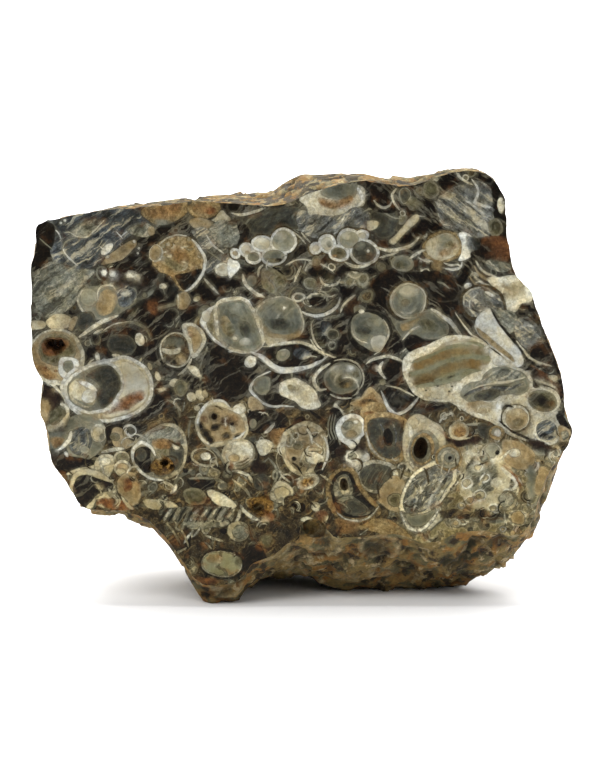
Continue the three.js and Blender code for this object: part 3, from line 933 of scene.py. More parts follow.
blob("cream", 486,279, 495,278, 505,276, 515,276, 523,282, 531,289, 532,298, 529,304, 520,306, 516,312,
    505,314, 499,308, 499,298, 493,290)
egg("milk~", 513,292, 12,9, 30)
egg("smoke~", 504,286, 4,3)
ribbon("tan~", 2.4, 494,281, 506,288, 514,298)
ribbon("maroon", 3.4, 518,306, 526,305, 534,302)
egg("white", 467,286, 3.6,3.4)
blob("pitch", 404,274, 420,272, 436,272, 450,278, 458,290, 452,300, 438,300, 428,290, 420,282, 408,282)
ribbon("haze", 2, 437,282, 443,284, 449,289)
ribbon("slate~", 4, 447,271, 453,274, 458,279)
tally("round shell and its fringe")

# %% Draw the disc and the swept wall
egg("umber", 408,301, 20.5,20)
egg("pearl", 408,301, 18.4,18)
egg("smoke", 408.4,301, 16.6,16.2)
egg("pearl~", 409,292, 11,6)
egg("tan~", 405,303, 5,4)
ribbon("pearl~", 2.6, 396,306, 402,312, 410,313, 417,308)
blob("smoke", 391,318, 400,321, 412,317, 424,311, 432,309, 441,315, 448,325, 448,333, 444,338, 435,339,
    424,338, 412,333, 404,338, 397,331)
blob("olive~", 418,322, 428,318, 438,324, 436,331, 426,331)
blob("tan~", 400,324, 410,321, 420,318, 412,328, 403,331)
ribbon("cream", 2.2, 402,340, 411,331, 419,326)
blob("pitch", 404,342, 414,335, 426,340, 440,341, 434,346, 420,350, 408,351)
ribbon("cream", 4.4, 430,309, 440,315, 450,322, 457,331, 463,338)
ribbon("white", 1.6, 436,312, 446,319, 455,329)
ribbon("pitch", 3.4, 451,309, 462,325, 470,335, 478,340, 490,346, 500,353, 511,360)
ribbon("cream", 1.8, 455,313, 462,323, 470,333, 480,340, 495,349, 505,358)
tally("disc and the swept wall")

# %% Draw the fan of pale walls on the right
blob("umber", 459,301, 463,291, 472,286, 484,285, 495,289, 503,297, 506,307, 506,316, 497,320, 484,317,
    478,320, 469,319, 461,310)
blob("silver", 462,301, 466,292, 473,288, 483,287, 493,291, 500,298, 503,306, 503,313, 496,317, 485,314,
    478,317, 470,316, 463,309)
ribbon("cream", 2, 463,306, 464,297, 470,290, 480,288)
ribbon("cream", 1.8, 469,309, 470,300, 476,295)
ribbon("white", 3, 484,292, 488,294, 493,297)
ribbon("basalt~", 3, 474,308, 480,302, 490,304, 498,310)
ribbon("white~", 3, 478,312, 486,308, 496,313)
blob("white", 474,327, 478,316, 487,309, 493,315, 501,327, 511,340, 520,352, 524,362, 518,367, 511,365,
    500,354, 488,343, 478,335)
blob("tan", 476,328, 488,336, 500,346, 510,354, 514,362, 504,355, 490,344, 480,336)
ribbon("pearl~", 3, 486,318, 496,330, 508,345, 517,356)
for u, v in ((484, 335), (492, 341), (498, 345), (504, 352), (509, 357)):
    egg("umber~", u, v, 2.2,1.4, -35)
blob("lichen", 494,313, 506,310, 516,316, 516,328, 508,334, 500,326)
blob("silver", 514,325, 519,317, 528,317, 536,324, 541,332, 543,346, 536,353, 528,351, 521,345, 515,336)
ribbon("white~", 3, 518,330, 526,324, 534,328)
ribbon("basalt~", 3, 520,340, 530,334, 540,338)
blob("pitch", 532,346, 541,342, 547,350, 552,360, 545,365, 536,361, 530,354)
ribbon("pitch", 2.6, 490,309, 497,320, 507,333, 516,343, 524,354, 530,362, 546,371)
ribbon("cream", 2.4, 516,341, 522,349, 530,358, 540,363, 552,366)
blob("maroon", 524,372, 534,370, 548,374, 560,384, 562,396, 552,388, 540,384, 530,380)
egg("milk", 553,378, 5,3.6)
ribbon("rust", 2.4, 532,366, 546,376, 556,388, 561,402)
ribbon("cream", 1.6, 536,380, 546,384, 556,388)
tally("fan of pale walls on the right")

# %% [markdown]
# ## The middle
#
# The two grey chambers with the broad pale collar are one snail cut a little off its axis,
# so a second whorl shows beside the first. Round it lie a small coiled shell, a bowl cut
# lengthwise, and curled splinters that the mud carried in. A splinter is a ribbon: a line
# and a width say it in fewer points than an outline, and its ends taper as the real ones do.

# %% Draw the collared snail
blob("olive", 199,309, 206,305, 213,310, 214,320, 212,331, 205,328, 199,318)
blob("pitch", 203,336, 216,344, 232,354, 246,358, 258,366, 250,372, 232,366, 214,356)
blob("white", 214,306, 222,299, 233,296.5, 243,297.5, 250,302, 254,310, 257,320, 261,330, 265,338, 263,346,
    256,352, 246,354, 236,353, 226,349, 216,343, 207,334, 200,324, 203,314, 209,308)
blob("collar", 213,310, 217,306, 221,310, 218,320, 219,330, 223,338, 230,345, 240,349, 249,350, 238,351,
    227,347, 218,341, 210,333, 206,324, 209,315)
shell("cream", "smoke", 2.8, 214.5,306, 223,299, 234,296.5, 243,298, 250,303, 254,311, 257.5,321, 261.5,330,
    264,339, 261.5,347, 255,352, 247,353.5, 238,352.5, 228,348.5, 219,341, 215.5,331, 213.5,318)
blob("haze~", 228,304, 240,303, 246,310, 246,320, 238,316, 230,312)
blob("tan~", 220,318, 227,316, 231,324, 229,335, 223,333)
blob("olive~", 224,324, 230,322, 236,330, 232,338, 226,334)
blob("basalt~", 240,322, 248,322, 252,332, 246,338, 240,332)
egg("pearl", 235,339, 2.6,2)
egg("pearl~", 245,342, 6,4, 20)
egg("pearl", 206,316, 4.4,6)
ribbon("maroon", 2, 199,321, 204,330, 211,337)
blob("cream", 251,306, 258,312, 262,320, 264,330, 267,339, 262,345, 261,336, 257,326, 253,314)
shell("cream", "smoke", 2.2, 255,312, 262,302, 275,296.5, 289,297.5, 298,304, 303,315, 304,329, 297,337,
    284,338, 271,337, 263,332, 259,322)
for start in range(4):
    ribbon("pearl~", 2.4, 262 + 7 * start,318 + start, 267 + 7 * start,310 + start,
        275 + 7 * start,303 + start)
egg("white", 284,308, 1.4,1.4)
blob("basalt~", 266,322, 280,318, 292,322, 288,330, 274,330)
blob("tan~", 263,326, 274,333, 288,334, 300,330, 300,336, 290,341, 276,343, 267,344)
blob("milk~", 264,334, 272,338, 284,339, 276,344, 268,346)
ribbon("white", 5.4, 250,352, 262,357, 272,365, 284,370, 296,370, 308,366, 320,361, 328,356)
ribbon("cream", 3, 262,347, 274,345, 288,343, 302,343, 316,349, 326,357)
blob("pitch", 266,351, 276,347, 290,345, 304,346, 316,352, 324,358, 314,362, 304,366, 293,367, 280,366,
    271,361)
blob("slate~", 296,349, 306,349, 312,355, 303,360, 294,356)
ring("haze", "smoke", 283,355, 7.4,6, 1.1, 20)
egg("pearl~", 283,354, 3.4,2.6, 20)
ribbon("cream", 1.2, 303,359, 310,356, 317,357)
egg("white", 250.5,362, 6,6)
egg("tan~", 250.5,362, 2.4,2.2)
tally("collared snail")

# %% Draw the small shells left of it
blob("rust", 148,302, 156,300, 159,308, 156,316, 149,312)
blob("tan", 178,296, 186,292, 191,300, 186,309, 178,308)
ribbon("cream", 1.6, 178,295, 179,302, 178,309)
ribbon("rust", 2, 186,310, 196,306, 207,302)
egg("milk", 197,299, 4,2.4, 20)
egg("pitch", 176,351, 19,20)
egg("cream", 176,350, 16.4,17.6)
egg("umber", 176,350, 14.8,16)
blob("smoke~", 164,340, 174,336, 184,340, 184,350, 172,346, 164,348)
blob("cream", 161,348, 170,349, 180,348, 181,352, 176,354, 164,353)
egg("pitch~", 169,359, 7,5, 20)
blob("tan~", 176,356, 186,354, 186,362, 178,365)
blob("cream", 182,326, 187,323, 193,323, 199,327, 204,333, 206,340, 203,349, 198,356, 192,358, 190,350,
    188,342, 184,335)
blob("tan", 187,329, 192,326, 198,330, 202,338, 200,347, 195,353, 193,346, 192,337)
egg("rust", 191,334, 3,4.4, 20)
ribbon("cream", 2.4, 178,375, 185,369, 192,358)
blob("cream", 187,366, 193,366, 199,370, 200,377, 193,375)
for u, v, wide, high in ((174, 383, 5, 4), (162, 390, 4, 2.4), (158, 376, 3, 5), (192, 397, 4.6, 5),
                         (200, 395, 4, 6), (205, 394, 3, 4), (228, 398, 3, 2), (197, 408, 3, 3.4),
                         (214, 380, 3, 2), (150, 366, 2, 4)):
    egg("milk", u, v, wide, high, 25)
egg("olive", 181,388, 7,9)
egg("smoke~", 181,389, 5,5)
blob("pitch", 210,352, 226,362, 240,372, 248,384, 244,398, 230,402, 214,396, 206,380, 202,364)
for u, v, long in ((206, 372, 30), (212, 382, 28), (216, 392, 24), (222, 366, 24)):
    wisp("basalt~", u, v, long, 3)
ribbon("white", 2.6, 271,371, 260,376, 253,382, 250,389, 254,395, 262,402, 270,406, 285,406, 294,407)
blob("smoke", 254,380, 262,376, 270,378, 270,390, 262,395, 254,390)
blob("pitch", 264,396, 276,393, 286,397, 284,404, 270,404)
blob("tan", 250,396, 260,401, 264,410, 256,414, 248,406)
blob("cream", 279,384, 286,380, 294,378, 301,380, 308,384, 316,391, 319,398, 321,406, 312,410, 302,408,
    295,402, 287,398, 280,394)
egg("milk~", 300,393, 14,7, -30)
egg("collar~", 292,388, 6,3, -25)
tally("small shells left of it")

# %% Draw the bowl, the curls and the disc beside them
blob("basalt", 304,304, 314,308, 326,307, 336,300, 334,306, 326,312, 314,314, 306,310)
egg("pitch", 318,302, 9,5)
ribbon("tan~", 3, 306,307, 314,311, 324,310, 333,304)
ribbon("white", 3.2, 302,311, 308,315, 316,316.5, 325,314.5, 333,310, 338,305, 340,298)
ribbon("cream", 2, 307,299, 311,295, 319,294)
ribbon("cream", 2.6, 340,313, 343,306, 348,301, 355,295)
blob("maroon", 345,304, 352,302, 354,314, 348,320, 343,314)
ribbon("cream", 2, 311,325, 312,335, 316,344, 322,350)
ribbon("olive~", 4, 315,326, 316,335, 320,343, 327,348)
blob("slate~", 321,322, 330,323, 332,333, 325,336)
ring("haze", "basalt", 333,335, 6,5.6, 1.2)
ribbon("cream", 1.8, 310,340, 318,350, 330,356, 346,360)
blob("pitch", 349,323, 356,312, 366,311, 380,313, 390,322, 392,334, 387,346, 378,356, 364,354, 353,346,
    348,336)
blob("smoke", 351,328, 353,318, 360,313, 370,313, 380,317, 387,326, 388,336, 383,346, 375,352, 366,348,
    358,343, 352,336)
egg("cream", 361,312, 3,2.4)
ribbon("cream", 1.8, 352,325, 353,334, 358,340, 368,343)
ribbon("cream", 2, 383,319, 388,328, 388,337, 381,349, 374,355)
blob("pearl", 371,338, 378,335, 386,338, 384,346, 377,352, 372,347)
egg("basalt~", 363,330, 8,5)
egg("haze~", 374,322, 8,5)
blob("pitch", 368,364, 376,360, 388,358, 400,363, 404,372, 398,382, 388,384, 382,376, 372,374)
ribbon("cream", 3, 366,364, 374,359, 386,356, 396,358, 404,363)
egg("rust", 376,368, 5,4)
ribbon("white", 3.6, 383,361, 380,367, 381,373, 386,379)
tally("bowl, the curls and the disc beside them")

# %% Draw the coiled shell and the little cone
egg("pitch", 344,378, 26,22, 8)
egg("smoke", 343,378, 19.5,16, 8)
blob("olive~", 330,372, 340,364, 354,366, 360,376, 354,386, 342,388, 332,382)
ribbon("cream", 3.6, 330,363, 320,370, 314,378, 315,385, 320,390, 327,389)
ribbon("cream", 1.8, 334,361, 345,359, 356,363, 363,372, 363,384, 356,393)
ribbon("cream", 1.8, 344,377, 352,378, 358,385, 358,392, 352,396)
ribbon("pearl~", 2.4, 326,376, 332,368, 342,365)
ribbon("pearl~", 2, 334,384, 336,376, 343,372, 352,373)
egg("umber~", 346,383, 7,5)
# Painted highlight: a small white spot on the coiled shell's filling.
egg("white", 351,367, 2.2,1.8)
ribbon("cream", 2, 330,394, 340,398, 352,398)
blob("tan", 350,404, 360,398, 366,390, 371,387, 377,392, 382,398, 386,406, 387,415, 380,412, 366,409)
blob("ochre~", 356,404, 367,396, 372,392, 378,400, 382,410, 370,409)
ribbon("umber~", 3, 360,402, 370,400, 380,404)
ribbon("cream", 4.4, 335,404, 340,411, 345,416)
blob("pitch", 380,390, 390,385, 404,386, 416,394, 420,400, 414,408, 404,414, 394,412, 386,404)
ribbon("slate~", 4, 390,396, 400,394, 410,400)
ribbon("haze~", 2.4, 392,402, 402,402, 410,405)
ribbon("cream", 1.8, 385,386, 400,389, 415,396)
ribbon("white", 3.4, 381,391, 385,400, 389,409, 396,414.5, 404,412, 412,405, 419,397)
tally("coiled shell and the little cone")

# %% [markdown]
# ## The large shells on the right
#
# The longest chamber on the face is banded: silica settled in it layer by layer, so its
# filling is drawn as soft bands across, clipped to the chamber. Its shell runs on as a pale
# web between four more chambers.

# %% Draw the banded chamber
web = blob("cream", 402,366, 405,356, 413,350, 424,346, 436,340, 447,336, 460,335, 473,337, 484,342,
    494,351, 504,358, 514,366, 524,370, 533,380, 534,388, 545,387, 556,391, 561,401, 558,413, 561,426,
    561,438, 553,445, 540,446, 524,440, 508,434, 498,426, 488,421, 476,417, 464,411, 450,402, 436,402,
    424,400, 412,391, 405,380)
blob("milk~", 468,404, 480,402, 496,402, 510,400, 528,398, 536,414, 538,430, 526,436, 512,430, 498,420,
    480,414, within=web)
blob("white", 489,350, 496,352, 506,361, 516,369, 506,366, 494,364, within=web)
bore = blob("sage", 410,367, 413,361, 422,355.5, 434,349.5, 444,342.5, 455,339, 466,338.5, 477,341.5,
    485,347, 489,355, 489,363, 483,369, 475,372.5, 465,377, 458,382, 452,388, 449,394, 443,399, 434,399,
    425,396, 417,390, 411,382, 409,375)
BANDS = (("tan~", 6, 9), ("bronze~", 9, 20), ("bronze~", 11, 34))
for name, width, drop in BANDS:
    ribbon(name, width, 404,350 + drop, 424,344 + drop, 446,335 + drop, 470,330 + drop, 496,333 + drop,
        within=bore, taper=0.2)
ribbon("umber~", 2.4, 412,385, 424,382, 440,380, 456,375, 468,370, within=bore)
blob("milk", 405,388, 424,387, 442,385, 456,381, 470,382, 470,405, 405,405, within=bore)
for u, v, size in ((438, 386, 1.5), (452, 386, 1.3), (449, 391, 1.3), (426, 390, 1.2)):
    egg("basalt", u, v, size, size * 0.8)
ribbon("pearl~", 3, 430,353, 446,345, 462,343, 478,346, within=bore)
tally("banded chamber")

# %% Draw the chamber below it
pool = blob("smoke", 461,395, 463,388, 470,383, 480,381, 484,374, 490,369, 500,367, 510,368, 520,371,
    527,377, 530,385, 528,391, 520,395, 510,394, 500,396, 492,401, 480,401, 470,402)
blob("tan~", 486,378, 494,371, 506,370, 518,374, 516,380, 500,384, within=pool)
blob("lichen", 488,376, 494,371, 502,369, 514,370, 524,376, 512,379, 498,381, 480,386, 474,386, within=pool)
blob("lichen~", 500,370, 516,371, 526,378, 514,380, 500,378, within=pool)
ribbon("slate", 4.4, 464,396, 476,390, 492,388, 508,388, 524,384, within=pool)
ribbon("pearl", 1.8, 468,391, 478,387, 490,384, 508,381, 525,378, within=pool)
ribbon("pitch~", 2, 466,394, 480,388, 496,386, 512,386, within=pool)
blob("basalt", 474,396, 482,391, 492,389, 500,390, 499,396, 490,400, 478,401, within=pool)
blob("tan~", 466,403, 478,401, 490,404, 490,412, 476,413, 466,409)
ribbon("white", 4, 500,398, 499,408, 500,418, 504,426)
tally("chamber below it")

# %% Draw the three small chambers at the point
egg("umber", 516,418.5, 15,14.4)
egg("cream", 516,418, 13.5,13)
egg("tan", 517,419, 11.4,11)
egg("olive~", 519,423, 7,5)
egg("milk~", 514,413, 7,4)
ribbon("pitch", 2.2, 502,410, 507,406, 514,407)
ribbon("olive", 1.6, 506,428, 514,431, 524,430)
egg("cream", 543,401, 17,12.6, -14)
egg("olive", 543,401, 15,10.8, -14)
blob("pitch~", 528,398, 536,393, 546,397, 552,403, 546,409, 536,404)
egg("ochre", 553,404, 3,4)
egg("cream", 547,431, 13,12)
egg("slate", 547,430.5, 11.2,10, -20)
blob("pitch~", 541,432, 550,434, 556,430, 555,437, 547,440, 540,437)
ribbon("white", 3, 535,438, 544,444, 554,443, 560,436)
blob("pitch", 556,415, 562,414, 569,425, 568,431, 560,424)
blob("tan", 559,426, 567,428, 571,434, 566,442, 560,440)
blob("lichen", 561,433, 566,431, 569,436, 564,441)
ribbon("pitch", 2.6, 500,421, 510,430, 522,436, 536,441)
ribbon("cream", 2, 501,425, 512,433, 524,439, 538,444)
blob("maroon", 526,439, 538,439, 552,446, 558,450, 552,458, 542,455, 532,449)
ribbon("haze", 4, 521,440, 526,448, 534,453, 546,455)
ribbon("cream", 1.4, 521,443, 527,451, 536,456)
tally("three small chambers at the point")

# %% [markdown]
# ## The lower left
#
# The mud is full of shells here. One holds a hollow lined with gold-brown crystals, and the
# black one at the corner is filled with clear dark silica alone. A hollow could be cut with a
# Boolean. Here it is a paint with a depth, so its rim follows the drawn line exactly.

# %% Draw the corner shells
blob("maroon", 40,385, 58,392, 68,410, 70,428, 60,446, 56,470, 46,462, 44,430, 36,410)
blob("tan", 36,404, 44,400, 50,408, 46,420, 40,416)
blob("olive", 52,411, 62,406, 66,414, 60,424, 50,424)
ribbon("milk", 3, 46,428, 56,426, 64,420, 69,412)
ribbon("cream", 4, 60,404, 66,407, 68,413)
blob("smoke", 70,418, 84,414, 98,418, 106,430, 104,446, 92,458, 78,462, 68,454, 66,438)
blob("slate", 74,430, 86,428, 92,440, 86,454, 74,454, 68,444)
ribbon("haze", 2.4, 76,418, 84,424, 92,424)
ribbon("haze", 1.8, 86,432, 88,442, 84,452)
ribbon("haze", 1.8, 78,436, 78,446, 74,452)
egg("haze", 84,450, 5,4)
blob("smoke", 48,434, 58,432, 68,434, 66,442, 60,448, 52,448)
blob("ochre", 50,438, 58,436, 64,440, 58,447, 53,448)
ribbon("white", 4.4, 71,431, 69,440, 62,447, 58,450)
ring("cream", "milk", 98.5,433, 8.4,8.8, 2.2)
egg("smoke", 102,437, 2.8,2.4, 40)
blob("pitch", 106,428, 122,424, 146,424, 144,436, 134,448, 112,446, 106,438)
ring("white", "basalt", 129.5,430, 7,6.6, 2.4)
blob("tan", 112,430, 121,428, 128,438, 134,443, 126,449, 114,446)
egg("olive", 115,437, 5,4)
ribbon("cream", 2.4, 127,446, 134,443, 136,437)
blob("pitch", 60,452, 70,456, 84,459, 96,462, 92,469, 78,470, 64,474, 56,470)
egg("white", 66,454, 2,3.4, 30)
ribbon("milk", 5, 66,474, 78,471, 92,468, 104,462)
ribbon("cream", 4, 101,453, 112,450, 124,449)
blob("milk", 94,462, 102,455, 112,456, 114,466, 108,478, 100,474, 94,470)
egg("cream", 104,462, 6,4, 10)
ring("milk", "olive", 121,458, 8,7, 2)
ring("cream", "tan", 122,468, 8.5,8, 2)
egg("milk", 120,472, 5,4)
ribbon("pitch", 2, 96,472, 101,478, 106,482)
ribbon("cream", 2.4, 101,471, 105,477, 108,483)
tally("corner shells")

# %% Draw the black shell
blob("milk", 68,484, 74,474, 86,469, 100,472, 112,482, 116,492, 108,500, 96,500, 92,508, 84,512, 76,510,
    70,498)
blob("pitch", 72,490, 76,479, 86,475, 96,478, 106,482, 113,484, 111,491, 102,493, 95,496, 88,504, 80,509,
    74,500)
blob("maroon", 94,484, 104,482, 109,487, 102,491, 95,489)
ribbon("cream", 3, 108,489, 112,495, 117,500)
blob("rust", 118,480, 126,478, 132,484, 130,492, 121,492)
blob("tan", 120,476, 132,472, 138,482, 140,498, 132,506, 122,498, 116,488)
blob("rust", 122,480, 130,478, 132,488, 124,492)
blob("rust", 96,500, 112,498, 126,502, 134,510, 116,510, 98,508)
ribbon("milk", 3, 120,496, 126,504, 132,510)
tally("black shell")

# %% Draw the crystal hollow
blob("milk", 130,456, 132,446, 140,436, 150,430, 160,424, 172,423, 181,429, 186,440, 187,454, 184,466,
    176,475, 163,480, 151,479, 140,474, 133,466)
blob("lichen", 139,440, 150,431, 161,426, 172,427, 180,433, 183,443, 168,448, 154,446)
blob("ochre", 152,440, 162,438, 172,440, 176,448, 166,450, 154,448)
blob("pitch", 133,458, 136,450, 144,446, 152,450, 156,458, 154,470, 146,474, 138,470)
egg("basalt", 141,455, 6,7)
blob("olive", 150,452, 160,450, 172,450, 178,458, 176,468, 166,476, 154,474)
blob("basalt", 170,448, 180,444, 184,454, 181,466, 174,470, 170,460)
blob("gold", 152,462, 158,458, 166,456, 172,462, 174,470, 166,475, 156,475, 150,470)
egg("cream", 176,447, 4,3, -40)
egg("hollow", 164,464, 3.4,4)
egg("hollow", 172,467, 2.4,2.2)
egg("rust", 178,443, 3,3)
ribbon("white", 3.6, 132,462, 133,450, 141,442, 150,447, 155,456)
ribbon("white", 3, 134,464, 142,474, 152,479, 164,480)
tally("crystal hollow")

# %% Draw the spotted shell
blob("milk", 195,424, 198,413, 205,405, 214,401, 223,400, 229,406, 237,410, 244,413, 248,424, 247,434,
    240,442, 228,444, 214,447, 204,445, 198,436)
blob("tan", 199,424, 202,414, 208,407, 217,405, 226,408, 234,412, 241,417, 245,427, 243,434, 234,439,
    220,441, 208,442, 201,434)
egg("rust", 204,419, 4,4)
egg("ochre", 230,422, 9,8, 30)
for u, v, wide, high in ((214, 416, 4, 4), (224, 421, 3.4, 2.6), (215, 427, 4.4, 2), (232, 424, 2.4, 2),
                         (206, 434, 3, 3.6), (210, 440, 3.4, 2.4), (226, 436, 4.4, 2), (238, 436, 4.4, 1.6),
                         (201, 427, 1.8, 4)):
    egg("umber~", u, v, wide + 2, high + 2, 20)
    egg("pitch", u, v, 0.8 * wide, 0.8 * high, 20)
egg("hollow", 214,416, 3,3)
ribbon("white", 3, 197,424, 200,413, 207,404, 216,400, 224,401, 230,407)
blob("cream", 232,408, 238,404, 243,404, 246,410, 241,414, 235,413)
ribbon("cream", 3, 198,432, 202,440, 209,445)
ribbon("white", 2, 234,439, 240,436, 245,431)
blob("pitch", 248,414, 262,410, 280,412, 288,420, 278,428, 262,434, 250,430)
blob("pitch", 280,424, 288,428, 282,436)
egg("smoke", 253,424, 4,5)
ribbon("cream", 3.4, 264,434, 270,429, 275,423)
blob("ochre", 272,430, 284,428, 292,424, 288,440, 278,446, 270,440)
tally("spotted shell")

# %% Draw the pale discs and curls below it
egg("milk", 238,454, 17,15.5, 12)
egg("cream", 239,453, 14,12.4, 12)
egg("tan", 234,458, 6,4)
for layer in range(3):
    ribbon("olive", 1.3, 236,463 + 3 * layer, 243,462 + 3 * layer, 249,458 + 3 * layer)
ribbon("pitch", 1.8, 251,442, 257,448, 258,458, 252,468)
blob("cream", 257,442, 266,440, 273,444, 270,452, 262,456, 257,450)
egg("rust", 231,466, 3,5)
ring("milk", "umber", 204,458, 14,9, 2, -20)
blob("cream", 200,455, 208,453, 211,459, 204,461)
ribbon("haze", 1.6, 212,450, 220,456, 224,466)
ribbon("cream", 2, 210,463, 216,462, 218,467)
blob("maroon", 250,462, 262,460, 268,470, 262,476, 252,472)
ribbon("cream", 3.4, 232,471, 240,472, 248,476, 252,483)
ribbon("milk", 3, 232,479, 238,484, 246,491, 250,497)
ribbon("buff", 2, 240,476, 247,482, 252,488)
ribbon("haze", 2.6, 268,458, 275,466, 277,476, 272,486)
blob("basalt", 252,478, 262,474, 270,478, 268,488, 256,490)
ribbon("smoke", 2, 256,478, 262,484, 262,490)
ring("milk", "umber", 285,462, 9,13, 2, 12)
blob("cream", 270,492, 275,483, 282,480, 290,485, 294,494, 288,502, 278,504, 270,500)
blob("milk", 274,490, 284,487, 290,493, 284,500, 276,500)
egg("milk", 222,486, 5,4.6)
egg("smoke", 222,486, 2.8,2.6)
blob("pitch", 188,479, 204,478, 214,480, 212,488, 202,490, 190,486)
ribbon("haze", 3, 189,479, 200,478, 213,479)
blob("olive", 184,490, 198,488, 206,496, 204,504, 192,506, 184,500)
blob("cream", 206,492, 212,490, 222,494, 234,502, 236,508, 226,510, 214,504)
blob("milk", 142,500, 156,500, 172,502, 178,508, 164,511, 148,508)
ribbon("cream", 3.4, 163,481, 170,485, 176,490)
ribbon("white", 4, 176,484, 174,490, 170,494)
tally("pale discs and curls below it")

# %% Draw the ribbed snail and the foot
blob("lichen", 158,511, 174,508, 190,507, 210,507, 231,509, 234,518, 227,527, 210,529, 195,531, 184,527,
    174,523, 163,520)
for rib in range(8):
    ribbon("pitch", 2, 159 + 9 * rib,523, 163 + 9 * rib,515, 168 + 9 * rib,508)
    ribbon("cream" if rib % 3 else "white", 3.2, 163 + 9 * rib,522, 167 + 9 * rib,515, 172 + 9 * rib,509)
ribbon("white", 3.2, 234,525, 238,518, 240,510)
ribbon("pitch", 3, 239,526, 243,518, 244,511)
ribbon("white", 4.2, 240,505, 244,512, 252,518, 260,521)
blob("gold", 246,502, 256,497, 268,499, 274,507, 268,516, 254,514)
egg("pitch", 258,509, 6,4)
blob("rust", 262,515, 272,513, 274,521, 262,523)
egg("milk", 238,532, 11.5,10.6)
egg("lichen", 240,533, 8,7.4)
ribbon("white", 2.6, 183,544, 187,538, 191,533)
ribbon("white", 2.2, 192,538, 197,533, 200,528)
ribbon("cream", 2.6, 204,536, 213,539, 223,542)
ribbon("cream", 2, 204,543, 207,546, 211,550)
ribbon("milk", 2.6, 166,524, 174,534, 180,545)
ribbon("milk", 2, 172,520, 182,533, 188,548)
egg("pitch", 222,565, 23,15.4, -4)
egg("cream", 221,565, 20.8,13.4, -4)
egg("sage", 221,564.6, 19.4,12.2, -4)
# Painted highlight: a soft lighter patch on the upper left of the sage filling.
egg("tan~", 214,560, 9,5)
egg("olive~", 238,563, 4,6)
blob("pitch", 243,550, 254,545, 264,552, 262,566, 250,578, 243,568)
ring("ochre", "olive", 267,541, 8,7.6, 2.4)
ring("buff", "umber", 261,527, 5.4,5, 1.6)
blob("rust", 192,577, 206,579, 222,581, 214,586, 200,584)
tally("ribbed snail and the foot")

# %% [markdown]
# ## The lower middle and right
#
# The largest open shells lie here, with real holes in them where crystals stopped growing.
# Towards the right edge the mud gives way to pale, streaky, half dissolved shell. Dark paint
# alone would look flat under a moving light, so these holes are pushed in like the others.

# %% Draw the shells below the middle
blob("milk", 281,448, 283,434, 292,425, 304,421, 317,424, 326,434, 328,450, 324,464, 315,474, 304,477,
    292,472, 284,462)
knot = blob("tan", 285,447, 288,436, 296,428, 306,426, 316,429, 322,438, 323,450, 318,462, 308,470, 297,470,
    288,460)
strew(knot, 26, (3.0, 6.0), (1, 5, 2, 1), ("cream", "collar", "umber", "olive"), ("ochre", "olive", "umber"),
      33)
ribbon("cream", 3, 307,428, 311,436, 312,444)
ribbon("milk", 3, 300,462, 305,452, 312,449, 322,450)
blob("cream", 306,453, 316,452, 324,458, 318,464, 308,462)
egg("pitch", 294,459, 2.6,2.4)
blob("pitch", 318,462, 326,464, 322,474, 314,472)
egg("olive", 298,446, 5,4)
ribbon("white", 2.4, 324,436, 328,446, 327,458, 322,470)
ribbon("pitch", 2, 284,432, 294,424, 306,420)
ribbon("haze", 2.6, 286,430, 292,436, 290,446)
blob("pitch", 330,410, 338,408, 344,420, 338,436, 340,452, 332,458, 328,440, 330,424)
for layer in range(3):
    ribbon("smoke", 1.6, 330 + 3 * layer,414, 328 + 3 * layer,428, 331 + 3 * layer,440)
blob("white", 336,430, 339,420, 347,414, 356,414, 364,420, 366,432, 360,440, 355,448, 351,449, 345,444,
    339,440)
blob("milk", 341,428, 347,419, 356,418, 362,425, 361,434, 353,440, 345,437)
egg("lichen", 348,425, 6,4.6, 20)
egg("tan", 352,434, 6,3.6)
egg("white", 356,422, 2.6,2)
blob("maroon", 342,444, 352,450, 364,440, 368,452, 362,466, 350,470, 340,460, 334,452)
ring("white", "lichen", 352,457, 6.6,6, 2)
blob("white", 363,456, 368,453, 370,459, 365,463, 361,461)
blob("buff", 360,410, 372,402, 384,404, 386,412, 374,416, 362,418)
blob("rust", 362,413, 372,411, 380,414, 370,418)
tally("shells below the middle")

# %% Draw the three dark chambers
blob("buff", 364,420, 370,414, 386,412, 400,416, 408,422, 408,440, 406,456, 398,464, 386,462, 374,456,
    366,442)
blob("basalt", 368,423, 376,418, 390,418, 401,422, 404,434, 402,450, 396,458, 386,458, 376,450, 369,438)
ribbon("cream", 2.4, 366,432, 369,444, 376,454, 386,460)
ribbon("slate", 2, 380,424, 384,434, 382,446)
ribbon("slate", 2, 392,422, 396,432, 396,446)
egg("pitch", 388,437, 5,9, 10)
blob("milk", 408,420, 418,414, 432,420, 444,430, 446,452, 440,470, 424,474, 410,470, 404,458, 403,438)
ribbon("cream", 5, 409,424, 412,440, 409,456, 414,468)
egg("smoke", 424,449, 15,19, -8)
egg("buff", 423,449, 12,16, -8)
egg("olive", 422,450, 9.6,13, -8)
egg("hollow", 421,448, 7,10.5, -8)
blob("cream", 356,470, 366,462, 380,460, 392,464, 398,474, 396,486, 388,492, 376,494, 364,490, 357,482)
blob("basalt", 360,474, 368,466, 380,464, 391,468, 393,478, 386,488, 374,491, 364,486)
for layer in range(4):
    ribbon("smoke", 1.3, 364 + 5 * layer,486, 368 + 5 * layer,477, 374 + 5 * layer,468)
tally("three dark chambers")

